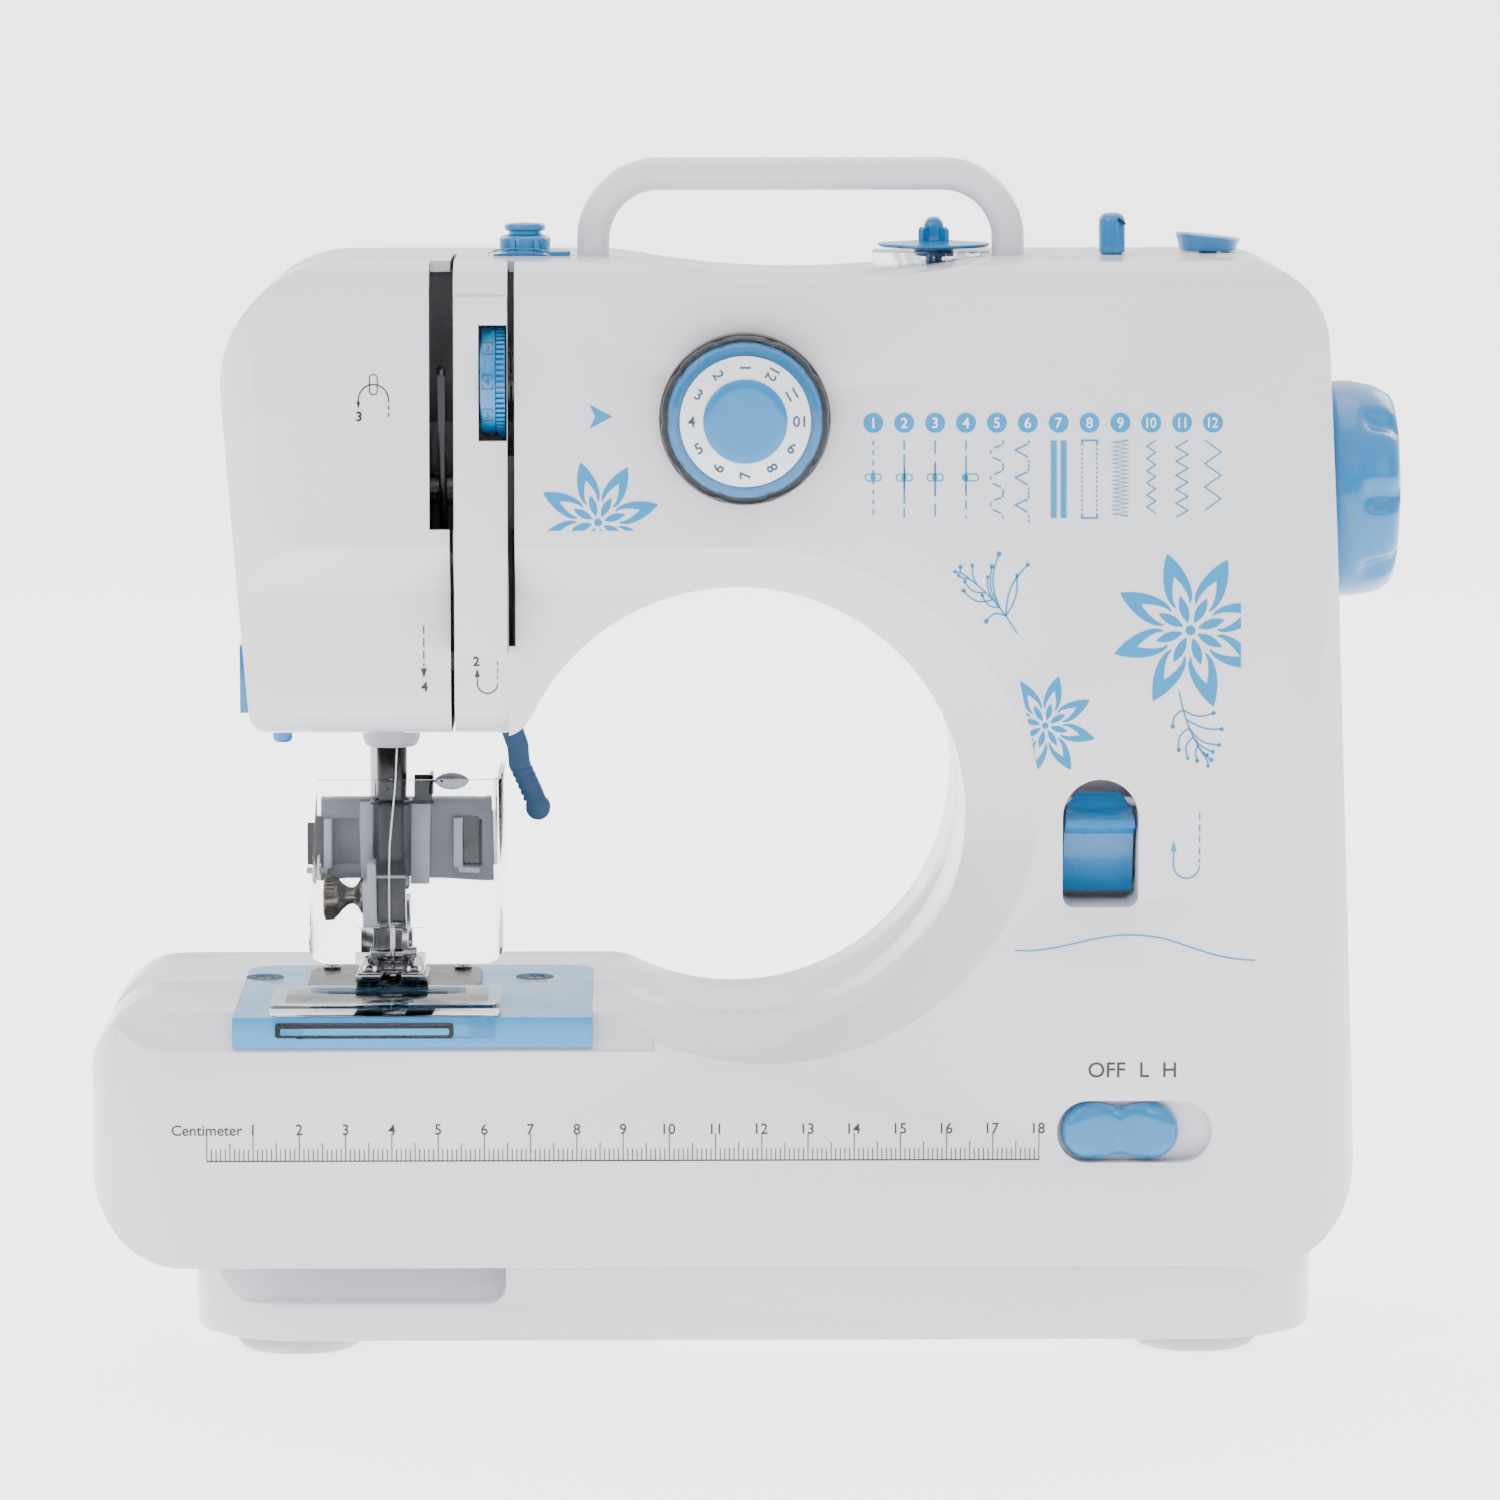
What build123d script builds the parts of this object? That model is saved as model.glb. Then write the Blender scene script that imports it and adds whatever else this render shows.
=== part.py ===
from build123d import *
import math
import os

# ---------------------------------------------------------------- overall sizes (millimetres)
LENGTH_LEFT = 143.2        # free arm end, left of the centre
BODY_RIGHT = 133.4         # widest point of the pillar
HALF_DEPTH = 47.0          # body, front and back of the centre line
BODY_BOTTOM = 20.0
BODY_TOP = 237.0
BED_Z = 75.0               # top of the free arm
HEAD_BOTTOM = 134.6
HANDLE_TOP = 258.3
WALL = 2.4                 # moulded cover thickness
SEAM_Y = 3.0               # where the two covers meet

# ---------------------------------------------------------------- clearances
RUN_FIT = 0.06             # radial, shafts in bores
SLIDE_FIT = 0.35           # sliding and swinging plastic parts
SEAT = 0.02                # parts resting in pockets of the same body

# ---------------------------------------------------------------- body shape
TOP_LEAN = 9.5             # how far the front leans back at the top
LEAN_FROM = 118.0          # height where the lean starts
HEAD_LEFT_TOP = 116.0
HEAD_LEFT_BOTTOM = 107.4
BODY_RIGHT_TOP = 124.3
DIP_DEPTH = 4.4            # saddle between the handle legs
DIP_LEFT = -29.0
DIP_RIGHT = 50.0
END_ROUND = 21.0           # lower corners
TOP_LEFT_ROUND = 27.0
TOP_RIGHT_ROUND = 18.0
PLAN_ROUND = 20.0          # vertical corners
EDGE_ROUND = 8.0           # top edges
OPEN_X = -2.2              # round opening
OPEN_R = 49.4
OPEN_CUT = 6.6             # how far the opening dips below the bed line
OPEN_Z = BED_Z + OPEN_R - OPEN_CUT
RIM_SHIFT_X = 0.6          # rim slope leans to the right and upwards
RIM_SHIFT_Z = 0.62
RECESS_Y = 10.0 - HALF_DEPTH   # face of the lower head
BED_CHAMFER = 8.0

# ---------------------------------------------------------------- base and feet
FOOT_R = 13.8
FOOT_H = 4.0
FOOT_X = 98.0
FOOT_Y = 30.0
BASE_LEFT = 121.0
BASE_RIGHT = 124.0
BASE_ROUND = 25.0
FLOOR_T = 2.2
NOTCH_RIGHT = -52.6
NOTCH_BOTTOM = 12.1
NOTCH_DEPTH = 12.0

# ---------------------------------------------------------------- bed fittings
DECK_LEFT = -111.4
DECK_RIGHT = -33.8
DECK_BACK = 27.0
DECK_T = 2.0
DECK_LIP = 6.6
PLATE_X = (-97.0, -58.7)
PLATE_Y = (-14.4, 20.0)
COVER_X = (-103.6, -53.6)
COVER_FRONT = -HALF_DEPTH - 0.6
COVER_BACK = -15.0
COVER_T = 1.7
COVER_TRAVEL = 30.0

# ---------------------------------------------------------------- sewing head
NEEDLE_X = -78.1
NEEDLE_Y = -8.0
NEEDLE_BAR_R = 3.1
NEEDLE_TIP = BED_Z + 4.1
PRESSER_X = -80.6
PRESSER_Y = 7.0
PRESSER_BAR_R = 2.8
FOOT_SOLE = BED_Z + 1.6
LEVER_X = -56.0
LEVER_Y = 20.0
LEVER_Z = 141.0
LEVER_WIDTH = 4.7
SLOT_1 = (-68.4, -63.2)
SLOT_2 = (-51.6, -50.1)
SLOT_BOTTOM = 180.1
STRIP_BOTTOM = 154.4
TENSION_Z = 211.5
TENSION_R = 12.4
TENSION_Y = -30.2

# ---------------------------------------------------------------- drive
SHAFT_Z = 185.3
SHAFT_R = 3.5
CRANK_THROW = 8.5
CRANK_R = 11.0
WHEEL_R = 23.8
WHEEL_LEFT = 127.6
WHEEL_RIGHT = 143.2
LOWER_Z = 46.0
LOWER_R = 3.0
MOTOR_Y = 27.0
MOTOR_Z = 82.0
MOTOR_R = 15.0
BELT_T = 1.6
HOOK_X = -78.1
HOOK_Y = -28.0
HOOK_R = 15.5
FRAME_Y = (12.0, 15.5)

# ---------------------------------------------------------------- controls
DIAL_X = -0.7
DIAL_Z = 203.9
DIAL_R = 18.4
DIAL_FRONT = -HALF_DEPTH - 3.4
POCKET_X = (67.7, 84.1)
POCKET_Z = (98.7, 126.4)
SLIDER_X = (66.8, 100.4)
SLIDER_Z = (42.8, 56.4)
SLIDER_TRAVEL = 6.4

# ---------------------------------------------------------------- top fittings
HANDLE_X = (-33.4, 57.7)
HANDLE_R = 3.6
HANDLE_CORNER = 18.0
KNOB_X = -48.4
WINDER_X = 41.6
WINDER_Y = 5.0
PIN_X = 80.6
PIN_R = 2.9
PIN_STEM_R = 2.4              # thinner part that slides in the cover
PIN_TOP = 246.2
PIN_TRAVEL = 30.0
STOP_X = 102.5
STOP_Y = 10.0

NODES = {}

# ---------------------------------------------------------------- smaller parts
BED_BREAK = -HALF_DEPTH + BED_CHAMFER
TENSION_X = (-57.4, -52.1)
DIAL_SHAFT_R = 3.0
SPINDLE_R = 2.2
STOP_PIVOT_R = 2.0
BUTTON_X = -101.6
BUTTON_Y = -16.0
BUTTON_R = 2.2
LAMP_X = -94.0
LAMP_Y = 4.0
LAMP_R = 5.0
JACK_R = 5.5
JACK_Z = BODY_BOTTOM + 42
POWER_Y = 22.0
PEDAL_Y = 5.0
CASE_SCREWS = ((-95.0, 215.0), (100.0, 214.0), (119.0, BODY_BOTTOM + 20), (-125.0, BODY_BOTTOM + 20))
STRIP_X = (SLOT_1[1] + 0.2, SLOT_2[0] - 0.1)
SCREW_SPOTS = [(DECK_LEFT + 4, 10), (DECK_RIGHT - 13.2, 10), (PLATE_X[0] + 4.5, 14.5), (PLATE_X[1] - 4.5, 14.5)]
BASE_BOTTOM = FOOT_H - 0.2
DOOR_X = (8.0, 80.0)
DOOR_Y = (-24.0, 24.0)
CELL_R = 7.0
PILLAR_X = (51.0, 60.0)
BEAM_Z = (SHAFT_Z - 11, SHAFT_Z + 14)
SILL_Z = (BODY_BOTTOM + 6, BODY_BOTTOM + 16)
BUSH_X = ((-58.0, -50.0), (62.0, 70.0))
LOWER_X = ((-60.0, -54.0), (40.0, 46.0))
GUIDE_Z = (HEAD_BOTTOM + 22.4, HEAD_BOTTOM + 28.4)
TAKE_Y = -22.0
TAKE_Z = SHAFT_Z - 13.3
MOTOR_X = (62.0, 100.0)
CRANK_X = (-72.3, -69.3)
BELT_X = (105.5, 110.5)
TIMING_X = (84.0, 90.0)
PULLEY_R = 19.0
TIMING_R = 9.0
MOTOR_PULLEY_R = 5.0
GEAR_R = 12.0
GEAR_X = (HOOK_X - 3.0, HOOK_X + 3.0)
HOOK_TOP = BED_Z - 3.5
HOOK_FLOOR = HOOK_TOP - 15.0
BOBBIN_R = 10.2
TOOTH_X = (NEEDLE_X - 5.2, NEEDLE_X + 2.8)
BRACKET_X = (-94.8, -54.9)
BRACKET_Y = (-1.4, 0.6)
BRACKET_Z = (FOOT_SOLE + 22, FOOT_SOLE + 38.2)
THUMB_NECK = 7.8           # waist of the clamp screw between head and clamp
GUARD_X = (-95.8, -53.1)
GUARD_Y = (-34.0, -1.8)
GUARD_Z = (BED_Z + 9.6, BED_Z + 50.0)
AXLE_X = (-62.4, -48.0)
PIVOT_Y = 10.5 - HALF_DEPTH
PIVOT_Z = POCKET_Z[1] - 6


def box(x0, x1, y0, y1, z0, z1):
    """Block between two corners."""
    return Pos((x0 + x1) / 2, (y0 + y1) / 2, (z0 + z1) / 2) * Box(x1 - x0, y1 - y0, z1 - z0)


def rod_x(radius, x0, x1, y, z):
    return extrude(Plane.YZ.offset(x0) * Pos(y, z) * Circle(radius), x1 - x0)


def rod_y(radius, y0, y1, x, z):
    return extrude(Plane.XZ.offset(-y1) * Pos(x, z) * Circle(radius), y1 - y0)


def rod_z(radius, z0, z1, x, y):
    return extrude(Plane.XY.offset(z0) * Pos(x, y) * Circle(radius), z1 - z0)


def along_y(sketch, y0, y1):
    """Sketch drawn as (x, z), pushed from y0 back to y1."""
    return extrude(Plane.XZ.offset(-y1) * sketch, y1 - y0)


def along_x(sketch, x0, x1):
    """Sketch drawn as (y, z), pushed from x0 to x1."""
    return extrude(Plane.YZ.offset(x0) * sketch, x1 - x0)


def along_z(sketch, z0, z1):
    """Sketch drawn as (x, y), pushed from z0 up to z1."""
    return extrude(Plane.XY.offset(z0) * sketch, z1 - z0)


def outline(*points):
    return make_face(Polyline(*points, close=True))


def rounded(face, point, radius):
    corner = face.vertices().sort_by_distance((*point, 0))[0]
    return fillet(corner, radius)


def slab(x0, x1, y0, y1, radius):
    """Flat rounded rectangle between two corners."""
    return Pos((x0 + x1) / 2, (y0 + y1) / 2) * RectangleRounded(x1 - x0, y1 - y0, radius)


def turned(points, x, y, z):
    """Part turned about an upright axis from (radius, height) points."""
    return Pos(x, y, z) * revolve(Plane.XZ * outline(*points), Axis.Z)


def turned_y(points, x, y, z):
    """Part turned about a front-to-back axis; heights run towards the front."""
    return Pos(x, y, z) * (Rot(90, 0, 0) * revolve(Plane.XZ * outline(*points), Axis.Z))


def turned_x(points, x, y, z):
    """Part turned about a left-to-right axis; heights run to the right."""
    return Pos(x, y, z) * (Rot(0, 90, 0) * revolve(Plane.XZ * outline(*points), Axis.Z))


# ================================================================ covers
def body_outline():
    """Front view of the body without base, as a C round the opening."""
    drop = HEAD_BOTTOM - OPEN_Z
    head_x = OPEN_X - math.sqrt(OPEN_R ** 2 - drop ** 2)
    bed_x = OPEN_X - math.sqrt(OPEN_R ** 2 - (OPEN_Z - BED_Z) ** 2)
    start = math.degrees(math.atan2(drop, head_x - OPEN_X))
    stop = math.degrees(math.atan2(BED_Z - OPEN_Z, bed_x - OPEN_X))
    sweep_angle = -((start - stop) % 360)
    dip_mid = ((DIP_LEFT + DIP_RIGHT) / 2, BODY_TOP - DIP_DEPTH)
    left, right = -LENGTH_LEFT, BODY_RIGHT
    edges = [
        Line((left, BODY_BOTTOM), (right, BODY_BOTTOM)),
        Line((right, BODY_BOTTOM), (BODY_RIGHT_TOP, BODY_TOP)),
        Line((BODY_RIGHT_TOP, BODY_TOP), (DIP_RIGHT, BODY_TOP)),
        ThreePointArc((DIP_RIGHT, BODY_TOP), dip_mid, (DIP_LEFT, BODY_TOP)),
        Line((DIP_LEFT, BODY_TOP), (-HEAD_LEFT_TOP, BODY_TOP)),
        Line((-HEAD_LEFT_TOP, BODY_TOP), (-HEAD_LEFT_BOTTOM, HEAD_BOTTOM)),
        Line((-HEAD_LEFT_BOTTOM, HEAD_BOTTOM), (head_x, HEAD_BOTTOM)),
        CenterArc((OPEN_X, OPEN_Z, 0), OPEN_R, start, sweep_angle),
        Line((bed_x, BED_Z), (left, BED_Z)),
        Line((left, BED_Z), (left, BODY_BOTTOM)),
    ]
    face = make_face(edges)
    face = rounded(face, (left, BODY_BOTTOM), END_ROUND)
    face = rounded(face, (right, BODY_BOTTOM), END_ROUND)
    face = rounded(face, (BODY_RIGHT_TOP, BODY_TOP), TOP_RIGHT_ROUND)
    face = rounded(face, (DIP_RIGHT, BODY_TOP), 60)
    face = rounded(face, (DIP_LEFT, BODY_TOP), 60)
    face = rounded(face, (-HEAD_LEFT_TOP, BODY_TOP), TOP_LEFT_ROUND)
    face = rounded(face, (-HEAD_LEFT_BOTTOM, HEAD_BOTTOM), 5)
    face = rounded(face, (head_x, HEAD_BOTTOM), 8)
    face = rounded(face, (bed_x, BED_Z), 14)
    return rounded(face, (left, BED_Z), 14)


def front_y(z):
    """Front face of the body at a height."""
    if z <= LEAN_FROM:
        return -HALF_DEPTH
    return -HALF_DEPTH + TOP_LEAN * (z - LEAN_FROM) / (BODY_TOP - LEAN_FROM)


def side_outline(skin):
    """Side view: upright lower part, upper part leaning back, soft top edges."""
    top = BODY_TOP - skin
    half = HALF_DEPTH - skin
    lean = TOP_LEAN * (top - LEAN_FROM) / (BODY_TOP - LEAN_FROM)
    face = outline((-half, 0), (-half, LEAN_FROM), (-half + lean, top), (half - lean, top),
                   (half, LEAN_FROM), (half, 0))
    for side in (-1, 1):
        face = rounded(face, (side * (half - lean), top), EDGE_ROUND - skin)
        face = rounded(face, (side * half, LEAN_FROM), 400)
    return face


def rim_tool(skin):
    """Sloped rim round the opening, widest at the upper right."""
    rings = []
    for reach in (-8, RECESS_Y + HALF_DEPTH + 10):
        plane = Plane(origin=(OPEN_X + RIM_SHIFT_X * reach, RECESS_Y + skin - reach, OPEN_Z + RIM_SHIFT_Z * reach),
                      x_dir=(1, 0, 0), z_dir=(0, -1, 0))
        rings.append(plane * Circle(OPEN_R + skin + reach))
    return loft(rings, ruled=True)


def head_recess_tool(skin):
    """Set-back face of the lower head, left of the rim."""
    foot = OPEN_Z + OPEN_R + skin - 0.7
    slope = (1 + RIM_SHIFT_Z) * 1.1
    face = outline((RECESS_Y + skin - 30, foot + 30 * slope), (RECESS_Y + skin, foot),
                   (RECESS_Y + skin, HEAD_BOTTOM - 12), (RECESS_Y + skin - 30, HEAD_BOTTOM - 12))
    return along_x(face, -200, OPEN_X + 3)


def bed_tool(skin):
    """Bevel along the front of the free arm."""
    top = BED_Z - skin
    front = -HALF_DEPTH + skin
    face = outline((front - 30, top - BED_CHAMFER), (front, top - BED_CHAMFER), (front + BED_CHAMFER, top),
                   (front + BED_CHAMFER, top + 5), (front - 30, top + 5))
    return along_x(rounded(face, (front, top - BED_CHAMFER), 5), -200, OPEN_X - 18)


def head_corner_tool(skin):
    """Rounds the left end and the under edge of the head."""
    radius = PLAN_ROUND - skin
    left = -HEAD_LEFT_TOP + skin
    corners = box(left - 9, left + radius, -90, 90, HEAD_BOTTOM - 8, BODY_TOP + 9)
    for side in (-1, 1):
        middle = HALF_DEPTH - TOP_LEAN / 2 - skin - radius
        corners -= rod_z(radius, 0, BODY_TOP + 20, left + radius, side * middle)
    corners -= box(left - 20, left + radius + 1, -middle, middle, 0, BODY_TOP + 20)
    under = box(-200, OPEN_X - OPEN_R + skin, -90, RECESS_Y + skin + radius / 2,
                HEAD_BOTTOM - 8, HEAD_BOTTOM + skin + radius / 2)
    under -= rod_x(radius / 2, -200, 0, RECESS_Y + skin + radius / 2, HEAD_BOTTOM + skin + radius / 2)
    return corners, under


def body_solid(skin):
    """Body with every face moved inwards by the given skin."""
    face = body_outline()
    if skin:
        face = offset(face, -skin, kind=Kind.INTERSECTION)
    plan = slab(-LENGTH_LEFT + skin, BODY_RIGHT - skin, -HALF_DEPTH + skin, HALF_DEPTH - skin,
                PLAN_ROUND - skin)
    solid = along_y(face, -90, 90) & along_x(side_outline(skin), -300, 300)
    solid &= along_z(plan, -10, 400)
    solid -= rim_tool(skin)
    solid -= head_recess_tool(skin)
    solid -= bed_tool(skin)
    for tool in head_corner_tool(skin):
        solid -= tool
    return solid


OUTER = body_solid(0)
INNER = body_solid(WALL)


def cover_cuts():
    """Everything cut through the moulded covers."""
    cuts = []
    slot_top = BODY_TOP + 5
    cuts.append(box(*SLOT_1, -70, -26, SLOT_BOTTOM, slot_top))
    cuts.append(box(*SLOT_2, -70, -26, STRIP_BOTTOM, slot_top))
    cuts.append(box(TENSION_X[0] - 0.4, TENSION_X[1] + 0.4, -70, -33, TENSION_Z - TENSION_R,
                    TENSION_Z + TENSION_R))
    cuts.append(rod_x(9.5, BODY_RIGHT - 20, BODY_RIGHT + 20, 0, SHAFT_Z))
    cuts.append(rod_y(DIAL_SHAFT_R + 0.6, -70, -30, DIAL_X, DIAL_Z))
    cuts.append(rod_z(NEEDLE_BAR_R + 1.5, HEAD_BOTTOM - 9, HEAD_BOTTOM + 9, NEEDLE_X, NEEDLE_Y))
    cuts.append(rod_z(PRESSER_BAR_R + 1.5, HEAD_BOTTOM - 9, HEAD_BOTTOM + 9, PRESSER_X, PRESSER_Y))
    cuts.append(box(LEVER_X - 6, LEVER_X + 22, LEVER_Y - 4, LEVER_Y + 4, HEAD_BOTTOM - 30, LEVER_Z + 2))
    cuts.append(rod_z(BUTTON_R + SLIDE_FIT, HEAD_BOTTOM - 9, HEAD_BOTTOM + 9, BUTTON_X, BUTTON_Y))
    cuts.append(rod_z(LAMP_R + SEAT, HEAD_BOTTOM - 9, HEAD_BOTTOM + 9, LAMP_X, LAMP_Y))
    for x in HANDLE_X:
        cuts.append(rod_z(HANDLE_R + SEAT, BODY_TOP - 20, BODY_TOP + 20, x, 0))
    cuts.append(rod_z(PIN_STEM_R + SLIDE_FIT, BODY_TOP - 30, BODY_TOP + 20, PIN_X, 0))
    cuts.append(rod_z(SPINDLE_R + SLIDE_FIT, BODY_TOP - 30, BODY_TOP + 20, WINDER_X, WINDER_Y))
    cuts.append(rod_z(STOP_PIVOT_R + SLIDE_FIT, BODY_TOP - 30, BODY_TOP + 20, STOP_X, STOP_Y))
    cuts.append(rod_z(1.5 + SEAT, BODY_TOP - 20, BODY_TOP + 20, KNOB_X, 0))
    cuts.append(rod_x(JACK_R + SEAT, BODY_RIGHT - 12, BODY_RIGHT + 12, POWER_Y, JACK_Z))
    cuts.append(rod_x(JACK_R + SEAT, BODY_RIGHT - 12, BODY_RIGHT + 12, PEDAL_Y, JACK_Z))
    for x, y in SCREW_SPOTS:
        cuts.append(rod_z(1.3 + SEAT, BED_Z - 6, BED_Z + 2, x, y))
    for x, z in CASE_SCREWS:
        cuts.append(rod_y(1.5 + SEAT, -HALF_DEPTH + 8, HALF_DEPTH + 9, x, z))
        cuts.append(rod_y(3.4, SEAM_Y + 11.6, HALF_DEPTH + 9, x, z))
    return cuts


def deck_block(gap):
    """Space taken by the deck plate, grown all round by a gap."""
    left, right = DECK_LEFT - gap, DECK_RIGHT + gap
    block = along_z(slab(left, right, -HALF_DEPTH - 8, DECK_BACK + gap, 7), BED_Z - DECK_T, BED_Z + 0.01)
    front = box(left, right, -HALF_DEPTH - 8, BED_BREAK + gap, BED_Z - DECK_LIP - gap, BED_Z + 0.01)
    return block + front


def arch(x0, x1, z0, z1, foot_radius):
    """Upright window with a round head."""
    radius = (x1 - x0) / 2
    face = outline((x0, z0), (x1, z0), (x1, z1 - radius), (x0, z1 - radius))
    face = rounded(face, (x0, z0), foot_radius)
    face = rounded(face, (x1, z0), foot_radius)
    return face + Pos((x0 + x1) / 2, z1 - radius) * Circle(radius)


# hollow inside, less the posts, ledges and pocket liners that stand in it
cavity = INNER
for x, z in CASE_SCREWS:
    cavity -= rod_y(5.2, -HALF_DEPTH - 1, HALF_DEPTH + 1, x, z)
cavity -= box(DECK_LEFT - 4, DECK_RIGHT + 4, -90, DECK_BACK + 4, BED_Z - 10.5, BED_Z + 5)
pocket_face = arch(*POCKET_X, *POCKET_Z, 2.6)
cavity -= along_y(offset(pocket_face, 1.8), -HALF_DEPTH - 5, -25.8)
slider_face = slab(*SLIDER_X, *SLIDER_Z, (SLIDER_Z[1] - SLIDER_Z[0]) / 2 - 0.05)
cavity -= along_y(offset(slider_face, 2), -HALF_DEPTH - 5, -41.5)

# proud strip beside the thread slots
strip = outline((front_y(STRIP_BOTTOM) - 0.8, STRIP_BOTTOM - 1.2), (front_y(BODY_TOP - 7) - 0.8, BODY_TOP - 7),
                (RECESS_Y + 3, BODY_TOP - 7), (RECESS_Y + 3, STRIP_BOTTOM + 4), (RECESS_Y + 0.6, STRIP_BOTTOM - 1.2))
shell = OUTER + along_x(strip, *STRIP_X) - cavity
shell -= deck_block(SEAT)
well = box(DECK_LEFT + 10, DECK_RIGHT - 21, -HALF_DEPTH + 2.8, DECK_BACK - 6, BODY_BOTTOM + 20, BED_Z + 2)
shell -= well
shell -= along_y(pocket_face, -HALF_DEPTH - 5, -27.6)
shell -= along_y(slider_face, -HALF_DEPTH - 5, -43.2)
stem_z = (SLIDER_Z[0] + SLIDER_Z[1]) / 2
shell -= box(SLIDER_X[0] + 7, SLIDER_X[0] + 21, -50, -30, stem_z - 1.6, stem_z + 1.6)
for cut in cover_cuts():
    shell -= cut

face_seam = SLOT_1[1] - 0.9
NODES["face_cover"] = shell & box(-200, face_seam, -90, SEAM_Y, HEAD_BOTTOM - 6, BODY_TOP + 9)
head_right = shell & box(face_seam + 0.8, 200, -90, SEAM_Y, HEAD_BOTTOM - 6, BODY_TOP + 9)
lower_front = shell & box(-200, 200, -90, SEAM_Y, 0, HEAD_BOTTOM - 6)
NODES["front_cover"] = head_right + lower_front
NODES["rear_cover"] = shell & box(-200, 200, SEAM_Y, 90, 0, BODY_TOP + 9)


# ================================================================ base
def base_notch(skin):
    """Finger notch under the free arm."""
    top = BODY_BOTTOM + 1
    face = outline((-HALF_DEPTH - 9, NOTCH_BOTTOM - skin), (-HALF_DEPTH + NOTCH_DEPTH * 0.4, NOTCH_BOTTOM - skin),
                   (-HALF_DEPTH + NOTCH_DEPTH + skin, top), (-HALF_DEPTH - 9, top))
    notch = along_x(face, -BASE_LEFT - 9, NOTCH_RIGHT + skin)
    end = outline((-BASE_LEFT - 9, NOTCH_BOTTOM - skin), (NOTCH_RIGHT + skin, NOTCH_BOTTOM - skin),
                  (NOTCH_RIGHT + skin, top + 9), (-BASE_LEFT - 9, top + 9))
    end = rounded(end, (NOTCH_RIGHT + skin, NOTCH_BOTTOM - skin), 4)
    return notch & along_y(end, -90, 0)


plan = slab(-BASE_LEFT, BASE_RIGHT, -HALF_DEPTH + 0.4, HALF_DEPTH - 0.4, BASE_ROUND)
base = along_z(plan, BASE_BOTTOM, BODY_BOTTOM) - base_notch(0)
base -= along_z(offset(plan, -WALL), BASE_BOTTOM + FLOOR_T, BODY_BOTTOM + 1) - base_notch(WALL)
base -= box(*DOOR_X, *DOOR_Y, 0, BASE_BOTTOM + FLOOR_T + 1)
NODES["base_tray"] = base
door = box(DOOR_X[0] + SLIDE_FIT, DOOR_X[1] - SLIDE_FIT, DOOR_Y[0] + SLIDE_FIT, DOOR_Y[1] - SLIDE_FIT,
           BASE_BOTTOM, BASE_BOTTOM + FLOOR_T - 0.4)
for i in range(5):
    ridge = DOOR_X[0] + 8 + 3 * i
    door -= box(ridge, ridge + 1.4, -9, 9, BASE_BOTTOM - 1, BASE_BOTTOM + 0.6)
NODES["battery_cover"] = door

cell_floor = BASE_BOTTOM + FLOOR_T
tray = box(DOOR_X[0] - 3, DOOR_X[1] + 3, DOOR_Y[0] - 8, DOOR_Y[1] + 8, cell_floor, BODY_BOTTOM - 0.2)
tray -= box(DOOR_X[0] - 1.4, DOOR_X[1] + 1.4, DOOR_Y[0] - 6.4, DOOR_Y[1] + 6.4, 0, BODY_BOTTOM - 1.6)
for i in range(3):
    rib_y = (i - 1) * 2.1 * CELL_R
    tray += box(DOOR_X[0] - 1.4, DOOR_X[1] + 1.4, rib_y - 0.6, rib_y + 0.6, BODY_BOTTOM - 6, BODY_BOTTOM - 1.6)
NODES["battery_box"] = tray
contacts = []
for end_x in (DOOR_X[0] - 1.4, DOOR_X[1] + 0.8):
    for i in range(4):
        contact_y = (i - 1.5) * 2.1 * CELL_R
        contacts.append(box(end_x, end_x + 0.6, contact_y - 4.5, contact_y + 4.5, cell_floor + 1, BODY_BOTTOM - 3))
NODES["battery_contacts"] = Compound(contacts)

feet = []
for side_x in (-1, 1):
    for side_y in (-1, 1):
        profile = [(0, 0), (FOOT_R - 1.5, 0), (FOOT_R, 1.5), (FOOT_R, BASE_BOTTOM), (0, BASE_BOTTOM)]
        feet.append(turned(profile, side_x * FOOT_X, side_y * FOOT_Y, 0))
NODES["feet"] = Compound(feet)

# ================================================================ handle
leg_left, leg_right = HANDLE_X
top_z = HANDLE_TOP - HANDLE_R
corner = HANDLE_CORNER - HANDLE_R
rail = Wire([
    Line((leg_left, 0, BODY_TOP - 12), (leg_left, 0, top_z - corner)),
    ThreePointArc((leg_left, 0, top_z - corner),
                  (leg_left + corner * (1 - math.sqrt(0.5)), 0, top_z - corner * (1 - math.sqrt(0.5))),
                  (leg_left + corner, 0, top_z)),
    Line((leg_left + corner, 0, top_z), (leg_right - corner, 0, top_z)),
    ThreePointArc((leg_right - corner, 0, top_z),
                  (leg_right - corner * (1 - math.sqrt(0.5)), 0, top_z - corner * (1 - math.sqrt(0.5))),
                  (leg_right, 0, top_z - corner)),
    Line((leg_right, 0, top_z - corner), (leg_right, 0, BODY_TOP - 12)),
])
grip = sweep(Plane(origin=(leg_left, 0, BODY_TOP - 12), z_dir=(0, 0, 1)) * Circle(HANDLE_R), path=rail)
NODES["handle"] = grip

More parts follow.
